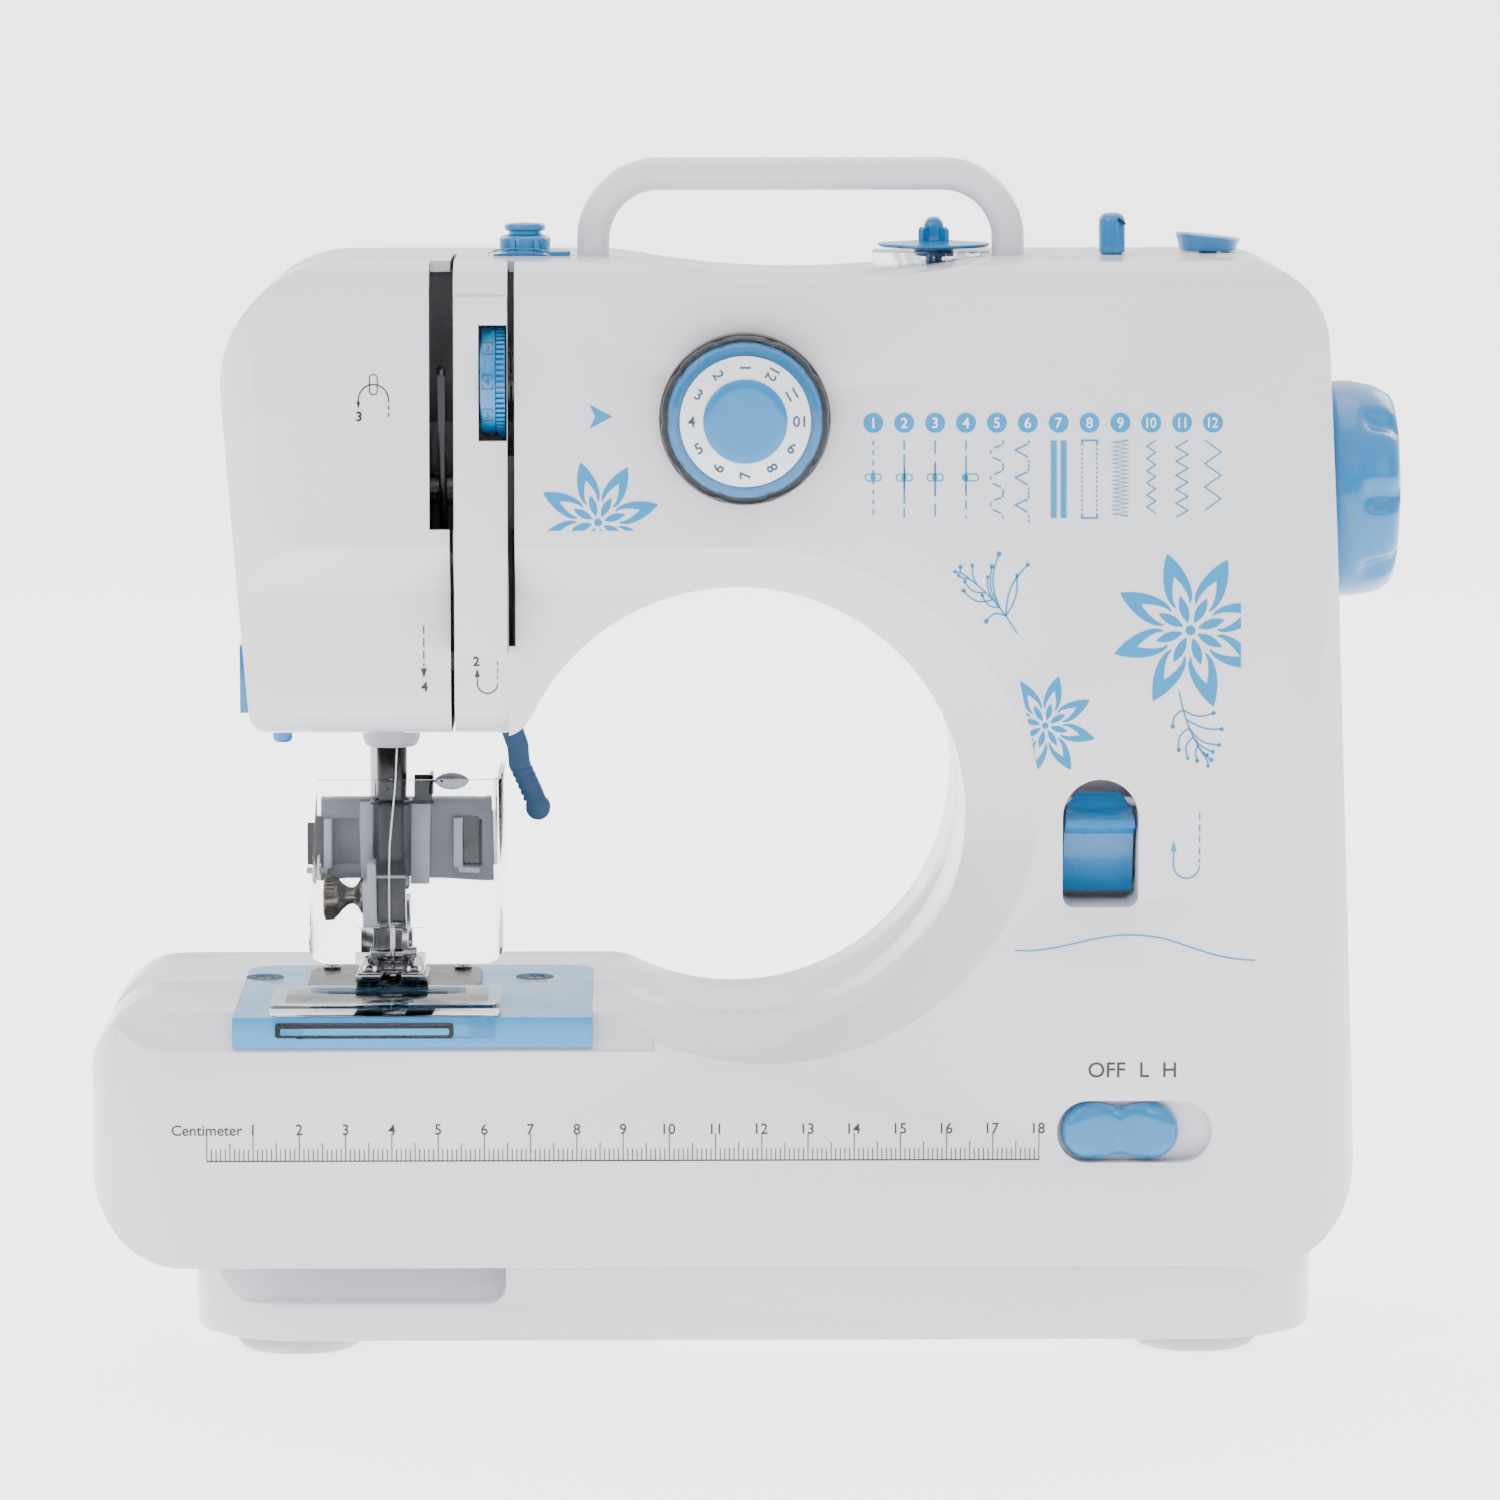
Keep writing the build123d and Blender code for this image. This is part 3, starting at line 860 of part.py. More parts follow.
cap = turned_y([(0, 0), (9, 0), (9, 0.5), (8.2, 0.9), (0, 0.9)], DIAL_X, DIAL_FRONT + 0.9, DIAL_Z)
NODES["dial_cap"] = cap

lever_mid = (POCKET_X[0] + POCKET_X[1]) / 2
half_w = (POCKET_X[1] - POCKET_X[0]) / 2 - 0.7
flap = outline((PIVOT_Y + 0.2, PIVOT_Z + 2), (PIVOT_Y - 2.6, PIVOT_Z - 1), (PIVOT_Y - 8.6, PIVOT_Z - 3),
               (PIVOT_Y - 9.2, PIVOT_Z - 4.6), (PIVOT_Y - 3.4, PIVOT_Z - 6.6), (PIVOT_Y + 1.2, PIVOT_Z - 19.6),
               (PIVOT_Y + 2.6, PIVOT_Z - 19.6), (PIVOT_Y + 1.6, PIVOT_Z))
reverse = along_x(flap, lever_mid - half_w, lever_mid + half_w)
reverse &= along_y(arch(lever_mid - half_w, lever_mid + half_w, 0, PIVOT_Z + 3.4, 0.5), -90, 0)
reverse -= rod_x(1 + RUN_FIT, POCKET_X[0], POCKET_X[1], PIVOT_Y, PIVOT_Z)
NODES["reverse_lever"] = reverse
NODES["front_cover"] += rod_x(1, POCKET_X[0] - 0.5, POCKET_X[1] + 0.5, PIVOT_Y, PIVOT_Z)

knob_x = (SLIDER_X[0] + 0.9, SLIDER_X[1] - 0.7 - SLIDER_TRAVEL)
knob_h = (SLIDER_Z[1] - SLIDER_Z[0]) - 1.4
front = -HALF_DEPTH
saddle = outline((knob_x[0], front + 3.4), (knob_x[1], front + 3.4), (knob_x[1], front + 2), (knob_x[1] - 5, front),
                 (knob_x[1] - 10, front + 1.1), (knob_x[0] + 9, front + 1.1), (knob_x[0] + 4, front - 1),
                 (knob_x[0], front + 1.2))
slide = along_z(saddle, stem_z - knob_h / 2, stem_z + knob_h / 2)
slide &= along_y(slab(knob_x[0], knob_x[1], stem_z - knob_h / 2, stem_z + knob_h / 2, knob_h / 2 - 0.1), -90, 0)
slide += box(SLIDER_X[0] + 7.5, SLIDER_X[0] + 7.5 + 6.2, front + 3.3, front + 8.5, stem_z - 1.2, stem_z + 1.2)
NODES["speed_slider"] = slide

# ================================================================ lamp, electrics
nub = [(0, 0), (BUTTON_R - 0.6, 0), (BUTTON_R, 0.6), (BUTTON_R, 7), (BUTTON_R + 0.8, 7), (BUTTON_R + 0.8, 8.5),
       (0, 8.5)]
NODES["lamp_button"] = turned(nub, BUTTON_X, BUTTON_Y, HEAD_BOTTOM - 3.4)
lens = [(0, 0), (LAMP_R - 1, 0), (LAMP_R, 1), (LAMP_R, WALL + 0.4), (LAMP_R + 1, WALL + 0.4), (LAMP_R + 1, 6), (0, 6)]
NODES["lamp_lens"] = turned(lens, LAMP_X, LAMP_Y, HEAD_BOTTOM)
board = box(SLIDER_X[0] - 8, SLIDER_X[1] + 12, front + 11, front + 12.6, BODY_BOTTOM + 6, BODY_BOTTOM + 46)
board += box(SLIDER_X[0] + 5.6, SLIDER_X[0] + 22.4, front + 9.2, front + 11, stem_z - 4, stem_z + 4)
for i in range(4):
    board += rod_y(3, front + 12.6, front + 21, SLIDER_X[0] + 2 + 9 * i, BODY_BOTTOM + 34)
board += box(SLIDER_X[1] - 6, SLIDER_X[1] + 8, front + 12.6, front + 16, BODY_BOTTOM + 12, BODY_BOTTOM + 24)
NODES["circuit_board"] = board
for name, jack_y in (("power_jack", POWER_Y), ("pedal_jack", PEDAL_Y)):
    wall_x = BODY_RIGHT - (BODY_RIGHT - BODY_RIGHT_TOP) * (JACK_Z - BODY_BOTTOM) / (BODY_TOP - BODY_BOTTOM)
    jack = rod_x(JACK_R, wall_x - 14, wall_x - 0.1, jack_y, JACK_Z) - rod_x(JACK_R - 2.2, wall_x - 10, wall_x + 9,
                                                                           jack_y, JACK_Z)
    NODES[name] = jack

# ================================================================ top fittings
base_plate = along_z(slab(KNOB_X - 7, KNOB_X + 10, -6, 6, 2), BODY_TOP, BODY_TOP + 0.9)
NODES["guide_base"] = base_plate - rod_z(1.5 + SEAT, 0, 300, KNOB_X, 0)
z = BODY_TOP + 0.9
stud = [(0, -8), (1.5, -8), (1.5, 0), (5.7, 0), (5.7, 3.2), (5, 3.9), (2.6, 4.1), (2.6, 4.9), (4, 5.2), (4, 5.8),
        (3.2, 6.6), (0, 6.6)]
NODES["guide_knob"] = turned(stud, KNOB_X, 0, z)
wedge = outline((WINDER_X - 14, WINDER_Y - 8), (WINDER_X + 12, WINDER_Y - 11), (WINDER_X + 13, WINDER_Y + 10),
                (WINDER_X - 13, WINDER_Y + 8))
disc_low = BODY_TOP + 0.9
toothed = along_z(wedge, BODY_TOP - 4, disc_low - SLIDE_FIT) - OUTER
for i in range(9):
    notch_x = WINDER_X - 12 + 2.6 * i
    toothed -= box(notch_x, notch_x + 1.3, WINDER_Y - 12, WINDER_Y - 8.4, 0, 300)
toothed -= rod_z(HANDLE_R + SEAT, 0, 300, HANDLE_X[1], 0)
NODES["winder_plate"] = toothed - rod_z(SPINDLE_R + SLIDE_FIT, 0, 300, WINDER_X, WINDER_Y)
body = [(0, -20), (SPINDLE_R, -20), (SPINDLE_R, 0), (12.4, 0), (12.4, 1.2), (11.8, 1.6), (SPINDLE_R, 1.8),
        (SPINDLE_R, 5.6), (1.6, 7), (0, 7.2)]
spindle = turned(body, WINDER_X, WINDER_Y, disc_low)
for i in range(4):
    spindle += Pos(WINDER_X, WINDER_Y, disc_low + 2.6) * (Rot(0, 0, 45 + 90 * i) * Pos(2.2, 0) * Box(3.2, 0.8, 2.6))
spindle += rod_z(8, disc_low - 24, disc_low - 19, WINDER_X, WINDER_Y)
NODES["winder_spindle"] = spindle
pin_low = SHAFT_Z + TIMING_R + 4
pin = rod_z(PIN_R, BODY_TOP + SLIDE_FIT, PIN_TOP, PIN_X, 0) + rod_z(PIN_STEM_R, pin_low, BODY_TOP + 1, PIN_X, 0)
pin += rod_z(PIN_STEM_R + 1.4, pin_low, pin_low + 2, PIN_X, 0)
NODES["spool_pin"] = pin
profile = [(0, -9), (STOP_PIVOT_R, -9), (STOP_PIVOT_R, 0), (7.2, 0), (7.2, 4.1), (0, 4.1)]
stop = turned(profile, STOP_X, STOP_Y, BODY_TOP + SLIDE_FIT)
stop -= Pos(STOP_X, STOP_Y, BODY_TOP + 6) * (Rot(0, 20, 0) * Box(20, 20, 4))
stop += rod_z(4, BODY_TOP - 8.8, BODY_TOP - 7.2, STOP_X, STOP_Y)
NODES["winder_stop"] = stop

screws = []
for x, z in CASE_SCREWS:
    head = rod_y(3.2, SEAM_Y + 11.6, SEAM_Y + 14, x, z)
    head -= box(x - 2, x + 2, SEAM_Y + 13, SEAM_Y + 15, z - 0.5, z + 0.5)
    head -= box(x - 0.5, x + 0.5, SEAM_Y + 13, SEAM_Y + 15, z - 2, z + 2)
    screws.append(head + rod_y(1.5, -HALF_DEPTH + 12, SEAM_Y + 11.6, x, z))
NODES["case_screws"] = Compound(screws)

# ================================================================ write the parts
os.makedirs("parts", exist_ok=True)
for name, shape in NODES.items():
    export_step(shape.fix(), f"parts/{name}.step")
print(len(NODES), "parts")
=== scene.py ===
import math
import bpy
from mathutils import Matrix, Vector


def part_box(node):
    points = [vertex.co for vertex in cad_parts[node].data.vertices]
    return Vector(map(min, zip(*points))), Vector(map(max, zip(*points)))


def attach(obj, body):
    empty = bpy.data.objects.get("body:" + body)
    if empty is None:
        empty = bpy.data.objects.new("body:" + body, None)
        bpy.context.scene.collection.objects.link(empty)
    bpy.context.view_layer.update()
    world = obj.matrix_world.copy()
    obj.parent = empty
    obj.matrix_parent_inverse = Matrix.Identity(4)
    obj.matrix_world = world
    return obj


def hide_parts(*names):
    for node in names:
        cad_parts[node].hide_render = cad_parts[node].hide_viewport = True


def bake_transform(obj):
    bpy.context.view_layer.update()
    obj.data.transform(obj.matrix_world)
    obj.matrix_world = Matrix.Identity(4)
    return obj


bl_info = {
    "name": "Compact sewing machine",
    "version": (1, 0, 0),
    "blender": (4, 5, 0),
    "location": "View3D > Sidebar > Sewing machine",
    "description": "Builds the finished look of a small free-arm sewing machine round its packed frame",
    "category": "Object",
}

import bmesh
import bpy
from mathutils import Matrix, Vector
from mathutils.bvhtree import BVHTree

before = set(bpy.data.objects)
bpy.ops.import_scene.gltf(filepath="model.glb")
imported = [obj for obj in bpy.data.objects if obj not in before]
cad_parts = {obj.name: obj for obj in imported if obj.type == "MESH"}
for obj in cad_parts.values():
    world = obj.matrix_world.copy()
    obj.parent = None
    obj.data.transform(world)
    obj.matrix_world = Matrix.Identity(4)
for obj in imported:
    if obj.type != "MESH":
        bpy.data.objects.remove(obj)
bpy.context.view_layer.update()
MM = 0.001
WELD = 0.000004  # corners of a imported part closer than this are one
FILM_FOOT = 0.12  # how far a printed film is sunk into its cover, millimetres
EYE = (-0.02097, -1.5181, 0.315)
LIGHTS_AIM = (0, 0, 0.13)
MADE_SMOOTH = math.radians(42)
MATERIALS = {}


# ------------------------------------------------------------------ settings
class BodyFinish(bpy.types.PropertyGroup):
    """Colours and gloss of the moulded body."""

    shell_colour: bpy.props.FloatVectorProperty(
        name="Shell", description="White of the moulded covers", subtype="COLOR", size=4,
        min=0, max=1, default=(0.7, 0.7, 0.745, 1))
    blue_colour: bpy.props.FloatVectorProperty(
        name="Blue", description="Blue of wheel, knobs and levers", subtype="COLOR", size=4,
        min=0, max=1, default=(0.0, 0.17, 0.42, 1))
    deck_colour: bpy.props.FloatVectorProperty(
        name="Deck blue", description="Lighter blue of the deck plate", subtype="COLOR", size=4,
        min=0, max=1, default=(0.01, 0.24, 0.52, 1))
    print_colour: bpy.props.FloatVectorProperty(
        name="Print blue", description="Blue ink of the flowers and stitch icons", subtype="COLOR", size=4,
        min=0, max=1, default=(0.006, 0.23, 0.5, 1))
    edge_round: bpy.props.FloatProperty(
        name="Edge round", description="Softening of moulded edges", subtype="DISTANCE", unit="LENGTH",
        min=0.0001, max=0.003, default=0.0007)


class PrintSizes(bpy.types.PropertyGroup):
    """Sizes of the printed marks."""

    line: bpy.props.FloatProperty(
        name="Line", description="Width of the thin printed lines", subtype="DISTANCE", unit="LENGTH",
        min=0.0001, max=0.001, default=0.00036)
    ink: bpy.props.FloatProperty(
        name="Ink", description="Thickness of the printed film", subtype="DISTANCE", unit="LENGTH",
        min=0.00002, max=0.0003, default=0.00012)
    icon_pitch: bpy.props.FloatProperty(
        name="Icon pitch", description="Distance between stitch icons", subtype="DISTANCE", unit="LENGTH",
        min=0.004, max=0.01, default=0.006636)
    flower: bpy.props.FloatProperty(
        name="Flower", description="Radius of the largest flower", subtype="DISTANCE", unit="LENGTH",
        min=0.005, max=0.025, default=0.0172)


class StageSettings(bpy.types.PropertyGroup):
    """Floor, lights and camera."""

    floor_colour: bpy.props.FloatVectorProperty(
        name="Floor", description="Colour of the floor", subtype="COLOR", size=4,
        min=0, max=1, default=(0.93, 0.93, 0.93, 1))
    wall_light: bpy.props.FloatProperty(
        name="Wall light", description="Brightness of the back wall", min=0, max=10, default=1.6)
    roof_light: bpy.props.FloatProperty(
        name="Roof light", description="Brightness of the ceiling", min=0, max=30, default=1.6)
    room_light: bpy.props.FloatProperty(
        name="Room light", description="Brightness of the rest of the room", min=0, max=10, default=0.16)
    lens: bpy.props.FloatProperty(
        name="Lens", description="Focal length in millimetres", min=20, max=400, default=165.6)
    pitch: bpy.props.FloatProperty(
        name="Pitch", description="How far the camera looks down", subtype="ANGLE", unit="ROTATION",
        default=math.radians(7.05))
    yaw: bpy.props.FloatProperty(
        name="Yaw", description="How far the camera turns to the right", subtype="ANGLE", unit="ROTATION",
        default=math.radians(0.83))


# ------------------------------------------------------------------ shader groups
def new_group(name, inputs, outputs):
    """Shader group with named sockets and its object coordinates."""
    tree = bpy.data.node_groups.new(name, "ShaderNodeTree")
    for label, kind, value in inputs:
        socket = tree.interface.new_socket(label, in_out="INPUT", socket_type=kind)
        socket.default_value = value
    for label, kind in outputs:
        tree.interface.new_socket(label, in_out="OUTPUT", socket_type=kind)
    source = tree.nodes.new("NodeGroupInput")
    sink = tree.nodes.new("NodeGroupOutput")
    coords = tree.nodes.new("ShaderNodeTexCoord")
    return tree, source, sink, coords


def tinted(tree, colour, tone):
    """Colour made lighter or darker by a value."""
    shade = tree.nodes.new("ShaderNodeCombineColor")
    for i in range(3):
        tree.links.new(tone, shade.inputs[i])
    return blend_colour(tree, 1.0, colour, shade.outputs[0], "MULTIPLY")


def noise(tree, vector, scale, detail=3.0, rough=0.5):
    node = tree.nodes.new("ShaderNodeTexNoise")
    node.inputs["Detail"].default_value = detail
    node.inputs["Roughness"].default_value = rough
    if isinstance(scale, (int, float)):
        node.inputs["Scale"].default_value = scale
    else:
        tree.links.new(scale, node.inputs["Scale"])
    tree.links.new(vector, node.inputs["Vector"])
    return node.outputs["Fac"]


def maths(tree, operation, *values):
    node = tree.nodes.new("ShaderNodeMath")
    node.operation = operation
    for slot, value in zip(node.inputs, values):
        if isinstance(value, (int, float)):
            slot.default_value = value
        else:
            tree.links.new(value, slot)
    return node.outputs[0]


def span(tree, value, low, high, to_low, to_high):
    node = tree.nodes.new("ShaderNodeMapRange")
    for label, entry in zip(("Value", "From Min", "From Max", "To Min", "To Max"),
                            (value, low, high, to_low, to_high)):
        if isinstance(entry, (int, float)):
            node.inputs[label].default_value = entry
        else:
            tree.links.new(entry, node.inputs[label])
    return node.outputs["Result"]


def blend_colour(tree, factor, first, second, mode="MIX"):
    node = tree.nodes.new("ShaderNodeMix")
    node.data_type = "RGBA"
    node.blend_type = mode
    for slot, value in ((node.inputs[0], factor), (node.inputs[6], first), (node.inputs[7], second)):
        if isinstance(value, (int, float, tuple)):
            slot.default_value = value
        else:
            tree.links.new(value, slot)
    return node.outputs[2]


def moulded_group():
    """Injection-moulded plastic: faint flow tone, fine orange peel, handled patches and specks."""
    tree, source, sink, coords = new_group(
        "moulded_skin",
        [("Colour", "NodeSocketColor", (0.8, 0.8, 0.8, 1)), ("Roughness", "NodeSocketFloat", 0.25),
         ("Peel", "NodeSocketFloat", 900.0), ("Handling", "NodeSocketFloat", 0.08)],
        [("Colour", "NodeSocketColor"), ("Roughness", "NodeSocketFloat"), ("Height", "NodeSocketFloat")])
    place = coords.outputs["Object"]
    flow = span(tree, noise(tree, place, 14.0, 2.0), 0.3, 0.7, 0.965, 1.0)
    specks = span(tree, noise(tree, place, 2600.0, 1.0), 0.74, 0.8, 1.0, 0.93)
    tone = maths(tree, "MULTIPLY", flow, specks)
    colour = tinted(tree, source.outputs["Colour"], tone)
    patches = span(tree, noise(tree, place, 55.0, 4.0, 0.6), 0.42, 0.66, 0.0, 1.0)
    extra = maths(tree, "MULTIPLY", patches, source.outputs["Handling"])
    rough = maths(tree, "ADD", source.outputs["Roughness"], extra)
    peel = noise(tree, place, source.outputs["Peel"], 1.5)
    tree.links.new(colour, sink.inputs["Colour"])
    tree.links.new(rough, sink.inputs["Roughness"])
    tree.links.new(peel, sink.inputs["Height"])
    return tree


def metal_group():
    """Drawn or brushed metal: long scratches along one axis, cloudy tone and dull spots."""
    tree, source, sink, coords = new_group(
        "drawn_metal",
        [("Colour", "NodeSocketColor", (0.6, 0.6, 0.6, 1)), ("Roughness", "NodeSocketFloat", 0.3),
         ("Stretch", "NodeSocketVector", (1, 1, 0.03)), ("Scratch", "NodeSocketFloat", 0.12)],
        [("Colour", "NodeSocketColor"), ("Roughness", "NodeSocketFloat"), ("Height", "NodeSocketFloat")])
    stretch = tree.nodes.new("ShaderNodeVectorMath")
    stretch.operation = "MULTIPLY"
    tree.links.new(coords.outputs["Object"], stretch.inputs[0])
    tree.links.new(source.outputs["Stretch"], stretch.inputs[1])
    hair = noise(tree, stretch.outputs[0], 3800.0, 2.0)
    clouds = noise(tree, coords.outputs["Object"], 160.0, 4.0)
    tone = span(tree, maths(tree, "ADD", maths(tree, "MULTIPLY", hair, 0.6),
                            maths(tree, "MULTIPLY", clouds, 0.4)),
                0.3, 0.7, 0.78, 1.1)
    colour = tinted(tree, source.outputs["Colour"], tone)
    rough = maths(tree, "ADD", source.outputs["Roughness"],
                  maths(tree, "MULTIPLY", maths(tree, "SUBTRACT", hair, 0.4), source.outputs["Scratch"]))
    tree.links.new(colour, sink.inputs["Colour"])
    tree.links.new(rough, sink.inputs["Roughness"])
    tree.links.new(hair, sink.inputs["Height"])
    return tree


def finish(name, group, colour, roughness, bump=0.02, metallic=0.0, coat=0.0, clear=0.0, alpha=1.0, **extra):
    """Material round one of the shared groups."""
    material = bpy.data.materials.new(name)
    material.use_nodes = True
    tree = material.node_tree
    shader = tree.nodes["Principled BSDF"]
    skin = tree.nodes.new("ShaderNodeGroup")
    skin.node_tree = bpy.data.node_groups[group]
    skin.inputs["Colour"].default_value = tuple(colour)
    skin.inputs["Roughness"].default_value = roughness
    for label, value in extra.items():
        skin.inputs[label].default_value = value
    tree.links.new(skin.outputs["Colour"], shader.inputs["Base Color"])
    tree.links.new(skin.outputs["Roughness"], shader.inputs["Roughness"])
    relief = tree.nodes.new("ShaderNodeBump")
    relief.inputs["Strength"].default_value = bump
    relief.inputs["Distance"].default_value = 0.0001
    tree.links.new(skin.outputs["Height"], relief.inputs["Height"])
    tree.links.new(relief.outputs["Normal"], shader.inputs["Normal"])
    shader.inputs["Metallic"].default_value = metallic
    shader.inputs["Coat Weight"].default_value = coat
    shader.inputs["Coat Roughness"].default_value = 0.08
    shader.inputs["Transmission Weight"].default_value = clear
    shader.inputs["IOR"].default_value = 1.16 if clear else 1.47
    shader.inputs["Alpha"].default_value = alpha
    MATERIALS[name] = material
    return material


class SEWING_OT_materials(bpy.types.Operator):
    """Make every material of the machine"""

    bl_idname = "sewing.materials"
    bl_label = "Materials"

    def execute(self, context):
        look = context.scene.sewing_finish
        moulded_group()
        metal_group()
        finish("white_moulding", "moulded_skin", look.shell_colour, 0.2, coat=0.35, bump=0.012)
        finish("handle_moulding", "moulded_skin", look.shell_colour, 0.3, coat=0.15, bump=0.02)
        finish("blue_moulding", "moulded_skin", look.blue_colour, 0.24, coat=0.35, bump=0.02)
        finish("deck_moulding", "moulded_skin", look.deck_colour, 0.26, coat=0.3, bump=0.02)
        finish("lever_moulding", "moulded_skin", (0.0, 0.045, 0.13, 1), 0.38, coat=0.0, bump=0.03)
        finish("black_moulding", "moulded_skin", (0.012, 0.012, 0.016, 1), 0.32, coat=0.2, bump=0.03)
        finish("grey_moulding", "moulded_skin", (0.16, 0.16, 0.19, 1), 0.4, bump=0.05)
        # pale grey: the real grey of the guard bracket clips, and painted shade on the white collar and clamp
        # guard under the head
        finish("pale_grey_and_shaded_white", "moulded_skin", (0.36, 0.36, 0.42, 1), 0.35, bump=0.03)
        finish("dial_white", "moulded_skin", (0.74, 0.77, 0.8, 1), 0.28, coat=0.3, bump=0.02)
        # painted shade: this near-black finish goes on slot walls, in screw slots and slits, and in gaps
        # round screw seats and the bobbin cover pull
        finish("shade_black", "moulded_skin", (0.006, 0.006, 0.007, 1), 0.6, bump=0.05)
        finish("foot_rubber", "moulded_skin", (0.5, 0.5, 0.52, 1), 0.6, bump=0.2, Peel=1800.0)
        finish("belt_rubber", "moulded_skin", (0.02, 0.02, 0.02, 1), 0.6, bump=0.2, Peel=2400.0)
        finish("board_green", "moulded_skin", (0.015, 0.16, 0.05, 1), 0.35, coat=0.3)
        finish("ink_blue", "moulded_skin", look.print_colour, 0.3, coat=0.2, bump=0.01)
        finish("ink_black", "moulded_skin", (0.012, 0.012, 0.014, 1), 0.35, coat=0.2, bump=0.01)
        finish("ink_navy", "moulded_skin", (0.03, 0.07, 0.13, 1), 0.35, bump=0.01)
        finish("ink_white", "moulded_skin", (0.86, 0.87, 0.9, 1), 0.35, coat=0.2, bump=0.01)
        finish("thread_white", "moulded_skin", (0.8, 0.8, 0.78, 1), 0.7, bump=0.3, Peel=5000.0)
        finish("clear_moulding", "moulded_skin", (0.93, 0.96, 0.98, 1), 0.03, clear=1.0, bump=0.008,
               Handling=0.05)
        finish("smoky_moulding", "moulded_skin", (0.86, 0.9, 0.93, 1), 0.08, clear=1.0, bump=0.01,
               Handling=0.08)
        finish("chrome", "drawn_metal", (0.34, 0.34, 0.36, 1), 0.12, metallic=1.0, bump=0.02, Scratch=0.08)
        finish("steel", "drawn_metal", (0.2, 0.2, 0.22, 1), 0.26, metallic=1.0, bump=0.05)
        finish("screw_steel", "drawn_metal", (0.17, 0.14, 0.12, 1), 0.22, metallic=1.0, bump=0.04)
        finish("dark_steel", "drawn_metal", (0.03, 0.029, 0.032, 1), 0.2, metallic=1.0, bump=0.05)
        finish("plate_steel", "drawn_metal", (0.02, 0.017, 0.017, 1), 0.3, metallic=1.0, bump=0.06,
               Stretch=(0.03, 1, 1))
        finish("cast_grey", "drawn_metal", (0.32, 0.33, 0.34, 1), 0.45, metallic=0.7, bump=0.3,
               Stretch=(1, 1, 1))
        finish("bearing_brass", "drawn_metal", (0.68, 0.47, 0.2, 1), 0.3, metallic=1.0, bump=0.04)
        return {"FINISHED"}


# ------------------------------------------------------------------ mesh helpers
def to_object(name, mesh):
    piece = bpy.data.objects.new(name, mesh)
    bpy.context.scene.collection.objects.link(piece)
    return piece


def place(piece, material, body, slot, nodes=()):
    """Give a finished mesh its material and body, and hide the nodes it stands for."""
    piece.data.materials.clear()
    piece.data.materials.append(MATERIALS[material])
    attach(piece, body)
    if nodes:
        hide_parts(*nodes)
    return piece


def crease(bm, angle):
    """Smooth faces with hard edges only where the surface turns sharply."""
    for face in bm.faces:
        face.smooth = True
    for edge in bm.edges:
        edge.smooth = len(edge.link_faces) == 2 and edge.calc_face_angle(0.0) < angle


def soft_copy(node, round_size, segments=2, angle=28.0, name=None):
    """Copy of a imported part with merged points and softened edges."""
    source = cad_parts[node].data
    bm = bmesh.new()
    bm.from_mesh(source)
    bmesh.ops.remove_doubles(bm, verts=bm.verts, dist=WELD)
    bmesh.ops.dissolve_degenerate(bm, edges=bm.edges, dist=WELD)
    bmesh.ops.dissolve_limit(bm, angle_limit=math.radians(1.2), verts=bm.verts, edges=bm.edges)
    if round_size > 0:
        limit = math.radians(angle)
        sharp = [e for e in bm.edges if len(e.link_faces) == 2 and e.calc_face_angle(0.0) > limit]
        bmesh.ops.bevel(bm, geom=sharp, offset=round_size, segments=segments, profile=0.5, affect="EDGES",
                        clamp_overlap=True)
        bmesh.ops.remove_doubles(bm, verts=bm.verts, dist=WELD)
    crease(bm, math.radians(40))
    mesh = bpy.data.meshes.new(name or node)
    bmesh.ops.triangulate(bm, faces=[f for f in bm.faces if len(f.verts) > 4])
    bm.to_mesh(mesh)
    bm.free()
    return to_object(name or node + "_finished", mesh)


class Room:
    """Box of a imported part, in millimetres."""

    def __init__(self, node):
        low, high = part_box(node)
        self.x0, self.y0, self.z0 = (v / MM for v in low)
        self.x1, self.y1, self.z1 = (v / MM for v in high)
        self.x, self.y, self.z = (self.x0 + self.x1) / 2, (self.y0 + self.y1) / 2, (self.z0 + self.z1) / 2


def turns(steps):
    """Angles of equal steps round a circle."""
    return [2 * math.pi * i / steps for i in range(steps)]


def ring_points(radius, steps, centre=(0, 0)):
    return [(centre[0] + radius * math.cos(t), centre[1] + radius * math.sin(t)) for t in turns(steps)]


def axis_turn(a, b):
    """Lays a shape made round Z on an X axis through a spot in Y and Z."""
    return Matrix(((0, 0, 1, 0), (1, 0, 0, a), (0, 1, 0, b), (0, 0, 0, 1)))


def spread(axis, a, b, along):
    """Point from two cross coordinates and one along the axis."""
    return {"x": (along, a, b), "y": (a, along, b), "z": (a, b, along)}[axis]


def ring_row(bm, radius, along, axis, centre, steps, wave):
    """One ring of corners round the axis; wave changes the radius with the angle."""
    row = []
    for turn in turns(steps):
        r = radius * (wave(turn, along) if wave else 1.0)
        a, b = centre[0] + r * math.cos(turn), centre[1] + r * math.sin(turn)
        row.append(bm.verts.new(spread(axis, a, b, along)))
    return row


def join_rows(bm, one, two):
    """Faces between two rings; a ring of one corner is a point."""
    steps = max(len(one), len(two))
    for i in range(steps):
        j = (i + 1) % steps
        corners = [one[i % len(one)], one[j % len(one)], two[j % len(two)], two[i % len(two)]]
        kept = [v for k, v in enumerate(corners) if v not in corners[:k]]
        if len(kept) > 2:
            bm.faces.new(kept)


